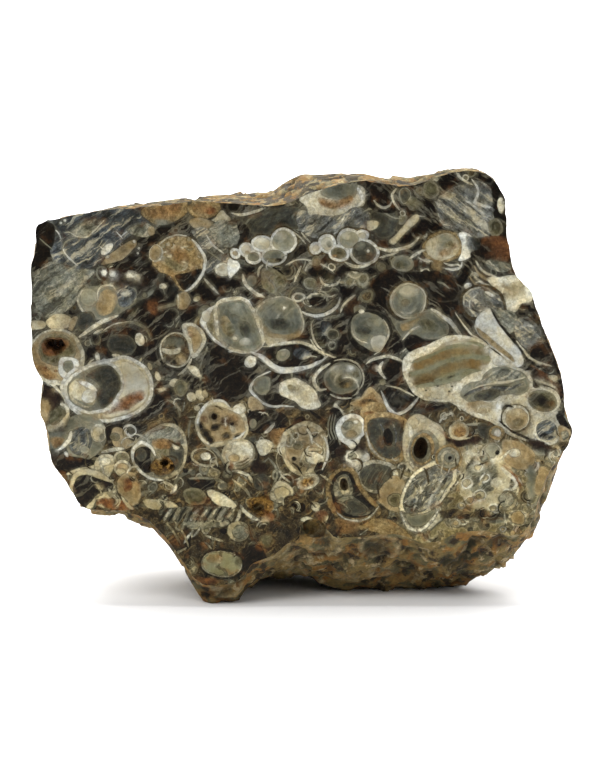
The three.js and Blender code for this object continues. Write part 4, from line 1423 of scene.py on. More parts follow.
# %% Draw the ear-shaped shell
blob("buff", 325,490, 329,478, 338,470, 350,468, 358,474, 362,486, 372,498, 380,508, 380,516, 368,522,
    350,524, 336,518, 328,506)
blob("pitch", 330,490, 333,479, 341,472, 350,473, 355,481, 360,492, 369,503, 376,511, 368,516, 354,518,
    341,514, 333,503)
blob("lichen", 333,490, 336,480, 343,475, 349,477, 353,486, 352,498, 344,505, 336,500)
blob("milk", 338,484, 341,478, 347,478, 350,486, 349,495, 342,495)
blob("smoke", 338,500, 350,496, 358,500, 368,508, 370,514, 356,516, 344,511)
blob("basalt", 340,506, 352,500, 364,506, 366,513, 352,515)
ribbon("haze", 2, 336,502, 344,505, 350,510)
egg("hollow", 344,485, 4.4,6.4, 10)
ribbon("white", 2.4, 336,512, 345,519, 358,521, 369,518, 379,507)
blob("tan", 386,482, 396,476, 406,484, 408,500, 400,512, 388,510, 378,500, 380,490)
egg("olive", 396,500, 8,7)
ring("cream", "gold", 308,482, 12,8, 3, 20)
ribbon("rust", 2.6, 326,476, 323,488, 322,500)
blob("umber", 284,500, 296,496, 308,500, 314,510, 306,518, 292,518)
egg("hollow", 298,508, 8,5.6)
egg("cream", 316,508, 5,4.4)
blob("rust", 316,512, 326,511, 328,520, 318,521)
blob("cream", 300,520, 308,517, 316,521, 308,526)
blob("pitch~", 300,527, 310,525, 320,528, 318,540, 304,540)
blob("ochre", 334,520, 346,520, 360,523, 358,532, 342,534)
tally("ear-shaped shell")

# %% Draw the streaky shell and what lies under it
blob("cream", 400,512, 402,496, 410,478, 424,466, 440,460, 456,466, 456,482, 444,500, 430,514, 412,522)
flow = blob("silver", 404,508, 406,494, 414,479, 426,470, 441,465, 452,471, 450,486, 439,501, 426,511,
    413,517)
for layer in range(6):
    ribbon("white~" if layer % 2 else "haze~", 3, 406 + 7 * layer,512, 412 + 7 * layer,496,
        424 + 7 * layer,476, within=flow)
for layer in range(4):
    ribbon("slate~", 2.4, 412 + 9 * layer,510, 418 + 9 * layer,494, 430 + 9 * layer,476, within=flow)
blob("cream", 400,512, 410,514, 424,512, 440,506, 440,520, 430,530, 416,534, 405,528)
blob("smoke", 405,513, 414,516, 428,513, 436,508, 432,520, 422,527, 411,526)
ribbon("white", 3.6, 401,512, 405,522, 412,530, 422,530, 432,522, 439,510)
blob("buff", 360,530, 368,522, 377,519, 390,520, 400,526, 409,534, 413,540)
ribbon("smoke", 2, 404,508, 412,506, 420,502)
tally("streaky shell and what lies under it")

# %% Draw the small rings on the right
blob("milk~", 466,452, 482,446, 500,448, 512,466, 508,494, 494,510, 472,508, 460,490, 460,468)
blob("lichen~", 470,462, 488,460, 498,472, 494,490, 478,496, 466,482)
ribbon("haze", 3, 466,424, 478,424, 492,427)
blob("basalt", 478,424, 492,424, 500,432, 492,440, 480,436)
ring("milk", "tan", 459,431, 10,9.6, 2.6)
egg("ochre", 460,432, 6,5.6)
ribbon("rust", 2.6, 429,425, 442,431, 450,440, 463,442)
ring("buff", "haze", 497,433, 8,7.6, 3)
egg("white", 497.5,433, 3.8,4)
ribbon("cream", 3, 440,423, 444,416, 453,413)
blob("maroon", 446,438, 462,440, 476,436, 484,440, 472,446, 452,446)
egg("buff", 449,458, 14,13.6)
egg("haze", 449,458, 11.4,11)
egg("milk", 449,458, 8.6,8)
egg("smoke", 449,458, 5.4,5)
egg("hollow", 450,458, 2,2)
ring("cream", "haze", 492,452, 9.4,9, 2.2)
egg("pitch", 498,453, 2.4,2.4)
ring("milk", "lichen", 484,458, 6,6, 1.6)
blob("tan", 502,441, 514,440, 528,446, 536,456, 532,468, 518,470, 506,462)
egg("cream", 515,453, 6,4.6)
ribbon("white", 4, 501,468, 508,474, 516,482, 515,489, 505,491)
egg("cream", 497,483, 6,4.6, 20)
ribbon("rust", 3, 503,465, 514,475, 521,487, 520,496)
blob("smoke~", 528,468, 536,470, 538,488, 533,504, 528,498)
blob("tan", 540,468, 551,470, 548,486, 541,500, 536,492)
ring("milk", "lichen", 508,501, 10.6,10, 2.2)
ring("cream", "tan", 518,519, 9,8.6, 2)
ribbon("maroon", 2.4, 486,444, 474,458, 464,472, 453,487, 446,498, 437,510)
blob("umber~", 438,512, 456,509, 474,512, 488,510, 486,518, 468,520, 446,519)
for u, v, size in ((468, 484, 6), (480, 496, 7), (470, 500, 5), (486, 478, 5), (462, 506, 4), (494, 508, 5),
                   (478, 468, 5)):
    ring("white", "milk", u, v, size, size * 0.85, 1.4, 20)
egg("olive", 479,497, 3,2.4)
strew(flow, 40, (1.2, 2.4), (0, 1, 4, 1), ("white", "cream"), ("smoke", "slate"), 16)
strew(mud, 250, (2.6, 6.0), (0, 6, 3, 0), ("umber", "cream", "cream", "pitch", "milk"), ("olive",), 17)
tally("small rings on the right")

# %% [markdown]
# ## Turning the drawing into mesh
#
# A fine even grid could carry the drawing, but its walls would look stepped. A constrained
# triangulation keeps every drawn line as a real edge of the mesh instead, with loose grid
# points between. It has to meet the rind point for point, so drawn lines stop just short of
# the face edge.

# %% Triangulate the face
GRID = 4.1             # all three in squares
EDGE_MARGIN = 1.5
LINE_MARGIN = 1.3


def tree_of(points):
    tree = kdtree.KDTree(len(points))
    for i, (u, v) in enumerate(points):
        tree.insert((u, v, 0), i)
    tree.balance()
    return tree


def distances(tree, points):
    return np.array([tree.find((u, v, 0))[2] for u, v in points])


def drawn_lines():
    """Every region's outline as points and edges, without what lies outside the face."""
    paths = [path for path, _, _ in regions]
    every = np.concatenate(paths)
    on_face = np.zeros(len(every), dtype=bool)
    on_face[points_in(outline, every)] = True
    on_face &= distances(tree_of(curve(outline, step=0.8)), every) > EDGE_MARGIN
    points, edges = [], []
    first, start = 0, len(outline)
    for path, _, within in regions:
        kept = on_face[first:first + len(path)].copy()
        first += len(path)
        if within is not None:
            clipped = np.zeros(len(path), dtype=bool)
            clipped[points_in(within, path)] = True
            kept &= clipped
        number = np.cumsum(kept) - 1 + start
        points.append(path[kept])
        joined = np.nonzero(kept & np.roll(kept, -1))[0]
        edges += [(int(number[i]), int(number[(i + 1) % len(path)])) for i in joined]
        start += int(kept.sum())
    return np.concatenate(points), edges


def grid_points(lines):
    rows = np.arange(outline[:, 1].min(), outline[:, 1].max(), GRID * math.sqrt(0.75))
    cols = np.arange(outline[:, 0].min(), outline[:, 0].max(), GRID)
    grid = np.array([(u + (i % 2) * GRID / 2, v) for i, v in enumerate(rows) for u in cols])
    grid = grid[points_in(outline, grid)]
    grid = grid[distances(tree_of(outline), grid) > GRID * 0.6]
    return grid[distances(tree_of(lines), grid) > LINE_MARGIN]


def triangulate():
    lines, line_edges = drawn_lines()
    everything = np.concatenate([outline, lines, grid_points(lines)])
    round_edge = [(i, (i + 1) % len(outline)) for i in range(len(outline))]
    result = geometry.delaunay_2d_cdt(
        [Vector(p) for p in everything], round_edge + line_edges, [], 0, 1e-6, True
    )
    points = np.array([tuple(p) for p in result[0]])
    triangles = np.array(result[2])
    centres = points[triangles].mean(axis=1)
    triangles = triangles[points_in(outline, centres)]
    first_id = [ids[0] if len(ids) else -1 for ids in result[3]]
    rim_of = {slot: ids for slot, ids in enumerate(first_id) if 0 <= ids < len(outline)}
    return points, triangles, rim_of


face_points, face_triangles, rim_of = triangulate()
print("face:", len(regions), "regions,", len(face_triangles), "triangles,",
      len(rim_of), "of", len(outline), "edge points met")

# %% [markdown]
# ## Which paint lies where
#
# A filling grew inwards from its wall, so the material has to know both which shell a point
# is in and how far it is from the wall. Each region could be a mesh of its own, but then the
# polish would have seams. In one sheet, a triangle belongs to the last region that covers its
# middle, and every point keeps its distance to the nearest border between two regions.

# %% Sort the triangles into regions
NEAREST = 3            # how many border edges near a point are measured


def region_map():
    centres = face_points[face_triangles].mean(axis=1)
    owner = np.zeros(len(face_triangles), dtype=int)
    for number, (path, _, within) in enumerate(regions):
        hits = points_in(path, centres)
        if within is not None and len(hits):
            hits = hits[inside(within, centres[hits])]
        owner[hits] = number
    return owner


def borders(owner):
    """The mesh edges with a different region on each side, apart from the edges of stains."""
    stain = np.array([PAINTS[name]["soft"] for _, name, _ in regions])
    ends = np.sort(np.concatenate([face_triangles[:, [i, (i + 1) % 3]] for i in range(3)]), axis=1)
    sides = np.tile(owner, 3)
    order = np.lexsort((ends[:, 1], ends[:, 0]))
    ends, sides = ends[order], sides[order]
    same = np.nonzero(np.all(ends[1:] == ends[:-1], axis=1))[0]
    left, right = sides[same], sides[same + 1]
    return ends[same[(left != right) & ~stain[left] & ~stain[right]]]


def border_distance(edges):
    a, b = face_points[edges[:, 0]], face_points[edges[:, 1]]
    tree = tree_of((a + b) / 2)
    result = np.empty(len(face_points))
    for i, p in enumerate(face_points):
        best = 1e9
        for _, slot, _ in tree.find_n((p[0], p[1], 0), NEAREST):
            along = b[slot] - a[slot]
            t = np.dot(p - a[slot], along) / max(np.dot(along, along), 1e-9)
            gap = p - a[slot] - along * min(max(t, 0.0), 1.0)
            best = min(best, math.hypot(*gap))
        result[i] = best
    return result


owner = region_map()
wall_distance = border_distance(borders(owner))
print("regions that show:", len(set(owner)))
print("widest filling:", round(wall_distance.max() * SQUARE / MM, 1), "mm from its wall")

# %% [markdown]
# ## One closed mesh
#
# The stone is one piece, so its model is one watertight skin. Two meshes laid edge to edge
# would show a crack at the rim. Instead the face uses the rind's own edge points. Hollows in
# the face are pushed in behind the polish, deeper the further a point is from its wall.

# %% Join the face to the rind
PIT_SHARES = {"hollow": 1.0, "gold": 6 / 11}     # crystals make a hollow shallower
PIT_STEEPNESS = 1.6        # how fast a pit deepens away from its wall
PIT_LIMIT = 2.2 * MM


def pit_depth(owner):
    """How far each face point lies behind the polish."""
    depth = np.zeros(len(face_points))
    share = np.zeros(len(regions))
    for number, (_, name, _) in enumerate(regions):
        share[number] = PIT_SHARES.get(name, 0.0)
    for corner in range(3):
        slots = face_triangles[:, corner]
        np.maximum.at(depth, slots, share[owner])
    return depth * np.minimum(wall_distance * SQUARE * PIT_STEEPNESS, PIT_LIMIT)


def add_face(bm, rim_numbers):
    wall = bm.verts.layers.float.new("wall")
    number = bm.faces.layers.int.new("number")
    bm.verts.ensure_lookup_table()
    rim = [bm.verts[number] for number in rim_numbers]
    depths = pit_depth(owner)
    made = []
    for slot, (u, v) in enumerate(face_points):
        if slot in rim_of:
            vert = rim[rim_of[slot]]
        else:
            place = to_stone(u, v)
            place.y += depths[slot]
            vert = bm.verts.new(place)
        vert[wall] = wall_distance[slot] * SQUARE / MM
        made.append(vert)
    for slot, triangle in enumerate(face_triangles):
        face = bm.faces.new([made[i] for i in triangle[::-1]])
        face.material_index = 0
        face[number] = slot + 1


for face in stone_bm.faces:
    face.material_index = 1
    face.smooth = True
stone_bm.verts.index_update()
add_face(stone_bm, [v.index for v in outline_verts])
stone_bm.normal_update()
front = [f for f in stone_bm.faces if f.material_index == 0]
print("front normal:", [round(c, 2) for c in sum((f.normal for f in front[:50]), Vector()) / 50])
print("open edges:", sum(e.is_boundary for e in stone_bm.edges))

# %% [markdown]
# ## Laying the paints on
#
# No two shells of one kind are quite the same tone. A material for each would be hundreds of
# them, so the paint goes into the mesh instead, at every corner of every triangle. Three
# things keep it from looking printed: each region is a little lighter or darker than its
# paint, it shades from one side to the other, and its corners take some of their neighbours'
# colour, or all of it in a stain, which has no sharp edge.

# %% Work out the colours of the corners
LAYERS = ("base", "second", "lining", "figure", "feel")    # four values each
BASE, SECOND = slice(0, 3), slice(4, 7)
UNBLENDED = slice(14, 16)        # the mottle's fineness and the seed, which must not blend
TINT_SEED, SHADING_SEED = 7, 8
LIFT = 0.16                      # how much lighter or darker than its paint a region may be
SHADING = 0.2
BLEND = 0.3                      # a corner's share of its neighbours' colour; a stain takes all
STAIN_ROUNDS = 3


def region_looks():
    chance = random.Random(TINT_SEED)
    looks = np.zeros((len(regions), 4 * len(LAYERS)))
    for number, (_, name, _) in enumerate(regions):
        p = PAINTS[name]
        lift = 1 + chance.uniform(-LIFT, LIFT)
        looks[number] = (
            [c * lift for c in p["base"]] + [p["mottle"]] + [c * lift for c in p["second"]] + [p["specks"]]
            + p["lining"] + [p["lined"]] + [p["bands"], p["swirl"], 1 / p["size"], chance.random()]
            + [p["grain"], 1.0 - p["soft"], 0.0, 1.0]
        )
    return looks


def shading():
    """How much lighter each triangle is for lying to one side of its region."""
    chance = np.random.default_rng(SHADING_SEED)
    centres = face_points[face_triangles].mean(axis=1)
    low = np.array([path.min(0) for path, _, _ in regions])
    high = np.array([path.max(0) for path, _, _ in regions])
    angle = chance.uniform(0, 2 * math.pi, len(regions))
    toward = np.stack([np.cos(angle), np.sin(angle)], axis=1)
    offset = (centres - (low + high)[owner] / 2) / np.maximum((high - low)[owner], 6.0)
    return 1 + SHADING * 2 * np.sum(offset * toward[owner], axis=1)


def corner_looks():
    looks = region_looks()[owner]
    shade = shading()
    looks[:, BASE] *= shade[:, None]
    looks[:, SECOND] *= shade[:, None]
    stain = np.array([PAINTS[name]["soft"] for _, name, _ in regions])[owner]
    own = np.repeat(looks[:, None, :], 3, axis=1)
    mixed = looks.copy()
    count = np.bincount(face_triangles.ravel(), minlength=len(face_points))
    corners = own
    for turn in range(STAIN_ROUNDS):
        average = np.zeros((len(face_points), looks.shape[1]))
        for corner in range(3):
            np.add.at(average, face_triangles[:, corner], mixed)
        average /= np.maximum(count, 1)[:, None]
        share = np.where(stain, 1.0, BLEND if turn == 0 else 0.0)[:, None, None]
        corners = corners * (1 - share) + average[face_triangles] * share
        mixed = np.where(stain[:, None], corners.mean(axis=1), mixed)
    corners[:, :, UNBLENDED] = own[:, :, UNBLENDED]
    return corners[:, ::-1, :]


def lay_paint(mesh):
    """Writes the looks of each face triangle to its corners, whatever order the mesh has them in."""
    numbers = np.empty(len(mesh.polygons), dtype=np.int32)
    starts = np.empty(len(mesh.polygons), dtype=np.int32)
    mesh.attributes["number"].data.foreach_get("value", numbers)
    mesh.polygons.foreach_get("loop_start", starts)
    painted = numbers > 0
    slots = (starts[painted][:, None] + np.arange(3)).ravel()
    corners = corner_looks()[numbers[painted] - 1].reshape(-1, 4 * len(LAYERS))
    for slot, name in enumerate(LAYERS):
        values = np.zeros((len(mesh.loops), 4), dtype=np.float32)
        values[slots] = corners[:, 4 * slot:4 * slot + 4]
        layer = mesh.attributes.new(name, "FLOAT_COLOR", "CORNER")
        layer.data.foreach_set("color", values.ravel())
    mesh.attributes.remove(mesh.attributes["number"])


mesh = bpy.data.meshes.new("agate_stone")
stone_bm.to_mesh(mesh)
stone_bm.free()
lay_paint(mesh)
stone = bpy.data.objects.new("agate_stone", mesh)
bpy.context.scene.collection.objects.link(stone)
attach(stone, "root")
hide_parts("stone")
print("stone:", len(mesh.vertices), "vertices,", sum(len(p.vertices) - 2 for p in mesh.polygons), "triangles")

# %% [markdown]
# ## Helpers for node materials
#
# A material is a graph of nodes. It could be wired by hand in the shader editor, but a graph
# this long is easier to read as sums. These helpers make a node and fill its sockets, do
# arithmetic, fade a value in between two limits, mix colours, and make soft-edged patches.

# %% Make the node helpers


class Graph:
    """A material's node tree, with short ways to add to it."""

    def __init__(self, name):
        self.material = bpy.data.materials.new(name)
        self.material.use_nodes = True
        self.tree = self.material.node_tree
        self.shader = self.tree.nodes["Principled BSDF"]

    def node(self, kind, settings=None, **inputs):
        made = self.tree.nodes.new("ShaderNode" + kind)
        for key, value in (settings or {}).items():
            setattr(made, key, value)
        for key, value in inputs.items():
            self.feed(made.inputs[key.replace("_", " ")], value)
        return made

    def feed(self, socket, value):
        if isinstance(value, bpy.types.NodeSocket):
            self.tree.links.new(value, socket)
        else:
            socket.default_value = value

    def math(self, operation, a, b=0.0):
        made = self.node("Math", {"operation": operation})
        self.feed(made.inputs[0], a)
        self.feed(made.inputs[1], b)
        return made.outputs[0]

    def times(self, a, b):
        return self.math("MULTIPLY", a, b)

    def plus(self, a, b):
        return self.math("ADD", a, b)

    def ramp(self, value, low, high, to_low=0.0, to_high=1.0):
        made = self.node("MapRange", {"interpolation_type": "SMOOTHSTEP"}, Value=value)
        self.feed(made.inputs["From Min"], low)
        self.feed(made.inputs["From Max"], high)
        self.feed(made.inputs["To Min"], to_low)
        self.feed(made.inputs["To Max"], to_high)
        return made.outputs[0]

    def mix(self, factor, a, b, blend="MIX"):
        made = self.node("Mix", {"data_type": "RGBA", "blend_type": blend})
        self.feed(made.inputs[0], factor)
        self.feed(made.inputs[6], a)
        self.feed(made.inputs[7], b)
        return made.outputs[2]

    def value(self, name):
        return self.node("Attribute", {"attribute_name": name})

    def vector(self, operation, a, b):
        made = self.node("VectorMath", {"operation": operation})
        self.feed(made.inputs[0], a)
        self.feed(made.inputs[3 if operation == "SCALE" else 1], b)
        return made.outputs[0]

    def noise(self, place, scale, detail=3.0, rough=0.55):
        made = self.node("TexNoise", Vector=place, Scale=scale, Detail=detail, Roughness=rough)
        return made.outputs["Fac"]

    def patches(self, place, scale, detail, low, high):
        return self.ramp(self.noise(place, scale, detail), low, high)

    def darker(self, tone, amount):
        """The tone times one amount for all three of its channels."""
        shade = self.node("CombineColor", Red=amount, Green=amount, Blue=amount).outputs[0]
        return self.mix(1.0, tone, shade, "MULTIPLY")

    def place_in_mm(self):
        return self.vector("SCALE", self.node("TexCoord").outputs["Object"], 1 / MM)


def colour(r, g, b):
    return (*rgb((r, g, b)), 1.0)


print("node helpers ready")

# %% [markdown]
# ## The polished face
#
# Polished chalcedony is smooth and glassy, with all its figure under the surface. A texture
# could be painted and wrapped on, but it would blur close up. This graph stays sharp: each
# step below takes the tone so far and returns a richer one. The paint's two colours are
# mixed by noise of the paint's own size, and pale and dark streaks are drawn through it.

# %% Read the paint and start with its mottle
SEED_SPREAD = 60.0                     # mm, so that two regions never share a piece of noise
DRIFT = 2.2                            # mm between the ends of the figure's wandering
BED_TOP = (16.0, 32.0)                 # mm up, where brown mud gives way to dark chalcedony


def face_values(g):
    """What the mesh says of a point: its paint's colours and amounts, and its place."""
    figure = g.value("figure")
    amounts = g.node("SeparateColor", Color=figure.outputs["Color"]).outputs
    feel = g.node("SeparateColor", Color=g.value("feel").outputs["Color"]).outputs
    place = g.place_in_mm()
    seed = g.times(figure.outputs["Alpha"], SEED_SPREAD)
    own = g.vector("ADD", place, g.node("CombineXYZ", X=seed, Y=seed, Z=seed).outputs[0])
    drift = g.node("TexNoise", Vector=own, Scale=0.42, Detail=2.0).outputs["Color"]
    drift = g.vector("SCALE", g.vector("SUBTRACT", drift, (0.5, 0.5, 0.5)), DRIFT)
    wall = g.value("wall").outputs["Fac"]
    spot = g.node("SeparateXYZ", Vector=place).outputs
    return SimpleNamespace(
        base=g.value("base").outputs, second=g.value("second").outputs, lining=g.value("lining").outputs,
        bands=amounts[0], swirl=amounts[1], fineness=amounts[2], grain=feel[0], hardness=feel[1],
        place=place, own=own, drift=drift, flowing=g.vector("ADD", own, drift), spot=spot, wall=wall,
        ragged=g.plus(wall, g.times(g.math("SUBTRACT", g.noise(place, 1.6), 0.5), 0.5)),
        low=g.ramp(spot[2], *BED_TOP, 1.0, 0.0),
    )


def mottled(g, f):
    sized = g.vector("SCALE", f.flowing, f.fineness)
    share = g.times(g.ramp(g.noise(sized, 0.75, 5.0, 0.62), 0.36, 0.64), f.base["Alpha"])
    return g.mix(share, f.base["Color"], f.second["Color"])


# %% Draw the streaks
STRETCH = (0.2, 0.2, 1.3)
RISING = math.radians(36)
FALLING = math.radians(-38)
SQUEEZED_X = (6.0, 16.0)               # mm: beyond both, in the upper right, the streaks fall
SQUEEZED_Z = (42.0, 50.0)
STREAK_DARK = colour(22, 20, 16)


def lines(g, f, turn, wander):
    """Noise drawn out along a line that rises by the turn."""
    place = g.vector("ADD", f.place, g.vector("SCALE", f.drift, wander))
    turned = g.node("VectorRotate", {"rotation_type": "Y_AXIS"}, Vector=place, Angle=turn).outputs[0]
    return g.noise(g.vector("MULTIPLY", turned, STRETCH), 1.0, 4.0, 0.6)


def streaked(g, f, tone):
    squeezed = g.times(g.ramp(f.spot[0], *SQUEEZED_X), g.ramp(f.spot[2], *SQUEEZED_Z))
    drawn = g.node("Mix", {"data_type": "FLOAT"})
    g.feed(drawn.inputs[0], squeezed)
    g.feed(drawn.inputs[2], lines(g, f, RISING, 0.9))
    g.feed(drawn.inputs[3], lines(g, f, FALLING, 0.6))
    dark = g.times(g.ramp(drawn.outputs[0], 0.36, 0.48, 1.0, 0.0), f.swirl)
    tone = g.mix(g.times(dark, 0.85), tone, STREAK_DARK)
    return g.mix(g.times(g.ramp(drawn.outputs[0], 0.52, 0.62), f.swirl), tone, f.lining["Color"])


print("streaks rise by", round(math.degrees(RISING)), "degrees, or fall by", round(-math.degrees(FALLING)))

# %% [markdown]
# Silica grew inwards from each wall, so growth bands and a thin lining follow the wall. They
# read the distance that the mesh carries. Pale crystal specks and thin brown veins of mud
# come after them, as strong as the paint asks.

# %% Add the bands, specks and veins
BAND_TURN = 8.0                        # radians of the bands' wave for each mm
LINING_EDGE = (0.1, 0.42)              # mm from the wall
SPECK = colour(176, 172, 158)
VEIN = colour(52, 38, 24)
VEIN_WIDTH = 0.035                     # in noise, each side of its middle value
VEIN_SHARE = 0.65


def banded(g, f, tone):
    wobble = g.times(g.noise(f.own, 0.7), 9.0)
    wave = g.ramp(g.math("SINE", g.plus(g.times(f.wall, BAND_TURN), wobble)), -0.2, 0.9)
    tone = g.mix(g.times(wave, f.bands), tone, f.lining["Color"])
    rim = g.ramp(f.ragged, *LINING_EDGE, 1.0, 0.0)
    return g.mix(g.times(rim, f.lining["Alpha"]), tone, f.lining["Color"])


def specked(g, f, tone):
    crystals = g.noise(g.vector("MULTIPLY", f.own, (1.0, 1.0, 1.6)), 3.6, 2.0, 0.5)
    return g.mix(g.times(g.ramp(crystals, 0.57, 0.70), f.second["Alpha"]), tone, SPECK)


def veined(g, f, tone):
    winding = g.noise(f.flowing, 0.8, 4.0, 0.6)
    vein = g.times(g.ramp(winding, 0.5 - VEIN_WIDTH, 0.5), g.ramp(winding, 0.5, 0.5 + VEIN_WIDTH, 1.0, 0.0))
    return g.mix(g.times(vein, g.times(f.grain, VEIN_SHARE)), tone, VEIN)


print("veins cover", VEIN_SHARE, "of what lies under them")

# %% [markdown]
# Iron has stained the seams between the shells, more so in the brown bed below. A broad
# drift from cool to warm keeps two shells of one paint from matching. The shade comes last:
# cloudy depth, fine grain and a dark seam at each wall. The polish itself is a low, slightly
# uneven roughness.

# %% Stain, shade and finish the polish
RUST = colour(116, 76, 40)
COOL = (0.95, 1.0, 1.03, 1.0)
WARM = (1.04, 1.0, 0.84, 1.0)
MUDDY = (1.04, 0.99, 0.82, 1.0)
SEAM_SHADE = (-0.28, -0.35)            # anywhere, and what the brown bed adds


def stained(g, f, tone):
    near = g.times(g.ramp(f.wall, 0.1, 1.0, 0.26, 0.0), g.plus(g.times(f.low, 1.2), 1.0))
    tone = g.mix(g.times(g.patches(f.place, 0.42, 5.0, 0.53, 0.68), near), tone, RUST)
    elsewhere = g.vector("ADD", f.place, (40.0, 0.0, 0.0))
    warmth = g.patches(elsewhere, 0.36, 4.0, 0.35, 0.65)
    tone = g.mix(1.0, tone, g.mix(warmth, COOL, WARM), "MULTIPLY")
    return g.mix(f.low, tone, g.mix(1.0, tone, MUDDY, "MULTIPLY"))


def shaded(g, f, tone):
    cloud = g.ramp(g.noise(f.place, 0.22), 0.3, 0.7, 0.75, 1.06)
    grain = g.ramp(g.noise(f.place, 2.1, 5.0, 0.72), 0.3, 0.7, -0.6, 0.5)
    grain = g.plus(g.times(grain, f.grain), 1.0)
    deep = g.plus(g.times(f.low, SEAM_SHADE[1]), SEAM_SHADE[0])
    seam = g.times(g.ramp(f.ragged, 0.0, 0.17, 1.0, 0.0), g.times(deep, f.hardness))
    return g.darker(tone, g.times(g.plus(seam, 1.0), g.times(grain, cloud)))


def polished_material():
    g = Graph("polished_agate")
    f = face_values(g)
    tone = mottled(g, f)
    for step in (streaked, banded, specked, veined, stained, shaded):
        tone = step(g, f, tone)
    bump = g.node("Bump", Strength=0.25, Distance=0.00006, Height=g.noise(f.place, 3.0))
    g.feed(g.shader.inputs["Base Color"], tone)
    g.feed(g.shader.inputs["Roughness"], g.ramp(g.noise(f.place, 0.6), 0.3, 0.7, 0.3, 0.44))
    g.feed(g.shader.inputs["Normal"], bump.outputs[0])
    g.shader.inputs["Specular IOR Level"].default_value = 0.1
    return g.material


mesh.materials.append(polished_material())
print("polished material:", len(mesh.materials[0].node_tree.nodes), "nodes")

# %% [markdown]
# ## The rind
#
# Weathered snail rock is brown and ochre with iron, olive where mud fills it, and pale
# where a shell is broken through. The top carries a darker, sooty crust with rusty stains.
# The colours could be painted on an unwrapped skin. Here broad noise in space picks them, so
# there are no seams at any corner, and the relief left by the displacement darkens hollows as painted shade.

# %% Make the rind material
ROCK = (colour(122, 104, 62), colour(144, 114, 64))
# Each patch: its noise's scale and detail, where it fades in, how strong it is, its colour.
PATCHES = (
    (0.33, 4.0, 0.47, 0.57, 1.0, colour(90, 84, 56)),
    (0.36, 4.0, 0.52, 0.62, 1.0, colour(132, 95, 46)),
    (0.42, 5.0, 0.52, 0.62, 1.0, colour(54, 44, 28)),
    (0.55, 3.0, 0.56, 0.68, 1.0, colour(158, 140, 102)),
)
# Pale broken shell, partly a painted highlight on the raised crests.
SHELL_AND_HIGHLIGHT = colour(158, 144, 108)
# On the crust: iron stains, then soot, then bleached shell.
CRUST_PATCHES = (
    (0.26, 4.0, 0.46, 0.56, 0.7, colour(120, 90, 38)),
    (0.4, 5.0, 0.45, 0.54, 0.85, colour(50, 46, 32)),
    (0.7, 3.0, 0.56, 0.62, 0.45, colour(158, 146, 104)),
)
CRUST_EDGE = (54.0, 66.0)              # mm up, where the crust of the top begins
CRUST_STRETCH = (1.0, 0.5, 1.0)


def patched(g, place, tone, patches, where):
    for scale, detail, low, high, share, paint_colour in patches:
        share = g.times(where, share)
        tone = g.mix(g.times(g.patches(place, scale, detail, low, high), share), tone, paint_colour)
    return tone


def rind_material():
    g = Graph("weathered_rind")
    place = g.place_in_mm()
    tone = g.mix(g.patches(place, 0.16, 3.0, 0.42, 0.6), *ROCK)
    tone = patched(g, place, tone, PATCHES, 1.0)
    # Raised shell crests turn pale: partly broken shell, partly a painted highlight.
    tone = g.mix(g.times(g.value("shell").outputs["Fac"], 0.7), tone, SHELL_AND_HIGHLIGHT)
    crust = g.ramp(g.node("SeparateXYZ", Vector=place).outputs[2], *CRUST_EDGE)
    tone = patched(g, g.vector("MULTIPLY", place, CRUST_STRETCH), tone, CRUST_PATCHES, crust)
    # Painted shade: the colour darkens where the relief sinks in, standing in for shade in the hollows.
    hollow = g.ramp(g.value("relief").outputs["Fac"], -0.8, 0.1, 0.3, 1.0)
    grain = g.ramp(g.noise(place, 2.2, 4.0, 0.7), 0.3, 0.7, 0.68, 1.26)
    rough = g.noise(place, 2.2, 5.0, 0.7)
    bump = g.node("Bump", Strength=0.9, Distance=0.0004, Height=rough)
    g.feed(g.shader.inputs["Base Color"], g.darker(tone, g.times(hollow, grain)))
    g.feed(g.shader.inputs["Normal"], bump.outputs[0])
    g.feed(g.shader.inputs["Roughness"], g.ramp(rough, 0.3, 0.7, 0.7, 0.9))
    g.shader.inputs["Specular IOR Level"].default_value = 0.3
    return g.material


mesh.materials.append(rind_material())
print("rind material:", len(mesh.materials[1].node_tree.nodes), "nodes")

# %% [markdown]
# ## Floor and lights
#
# The stone stands on a white sheet in a studio. A curved backdrop could be modelled, but a
# flat sheet, lit until it runs into the white background, looks the same and shows only the
# soft contact shadow. Four large area lights do it: a key and a fill in front, one overhead,
# and one over the back of the sheet. Large lights leave no hard glints on the polish.

# %% Lay the floor
FLOOR_FRONT = -0.2
FLOOR_REACH = 1.6


def make_floor():
    flat = bpy.data.meshes.new("floor")
    corners = [(-FLOOR_REACH, FLOOR_FRONT, 0), (FLOOR_REACH, FLOOR_FRONT, 0),
               (FLOOR_REACH, FLOOR_REACH, 0), (-FLOOR_REACH, FLOOR_REACH, 0)]
    flat.from_pydata(corners, [], [(0, 1, 2, 3)])
    floor = bpy.data.objects.new("floor", flat)
    bpy.context.scene.collection.objects.link(floor)
    g = Graph("white_sheet")
    g.shader.inputs["Base Color"].default_value = (0.9, 0.9, 0.9, 1.0)
    g.shader.inputs["Roughness"].default_value = 0.8
    g.shader.inputs["Specular IOR Level"].default_value = 0.0
    flat.materials.append(g.material)


make_floor()
print("floor laid")

# %% Hang the lights


def area_light(name, place, aim, size, power):
    lamp = bpy.data.lights.new(name, "AREA")
    lamp.shape = "RECTANGLE"
    lamp.size, lamp.size_y = size
    lamp.energy = power
    light = bpy.data.objects.new(name, lamp)
    light.location = place
    light.rotation_euler = (Vector(aim) - Vector(place)).to_track_quat("-Z", "Y").to_euler()
    bpy.context.scene.collection.objects.link(light)


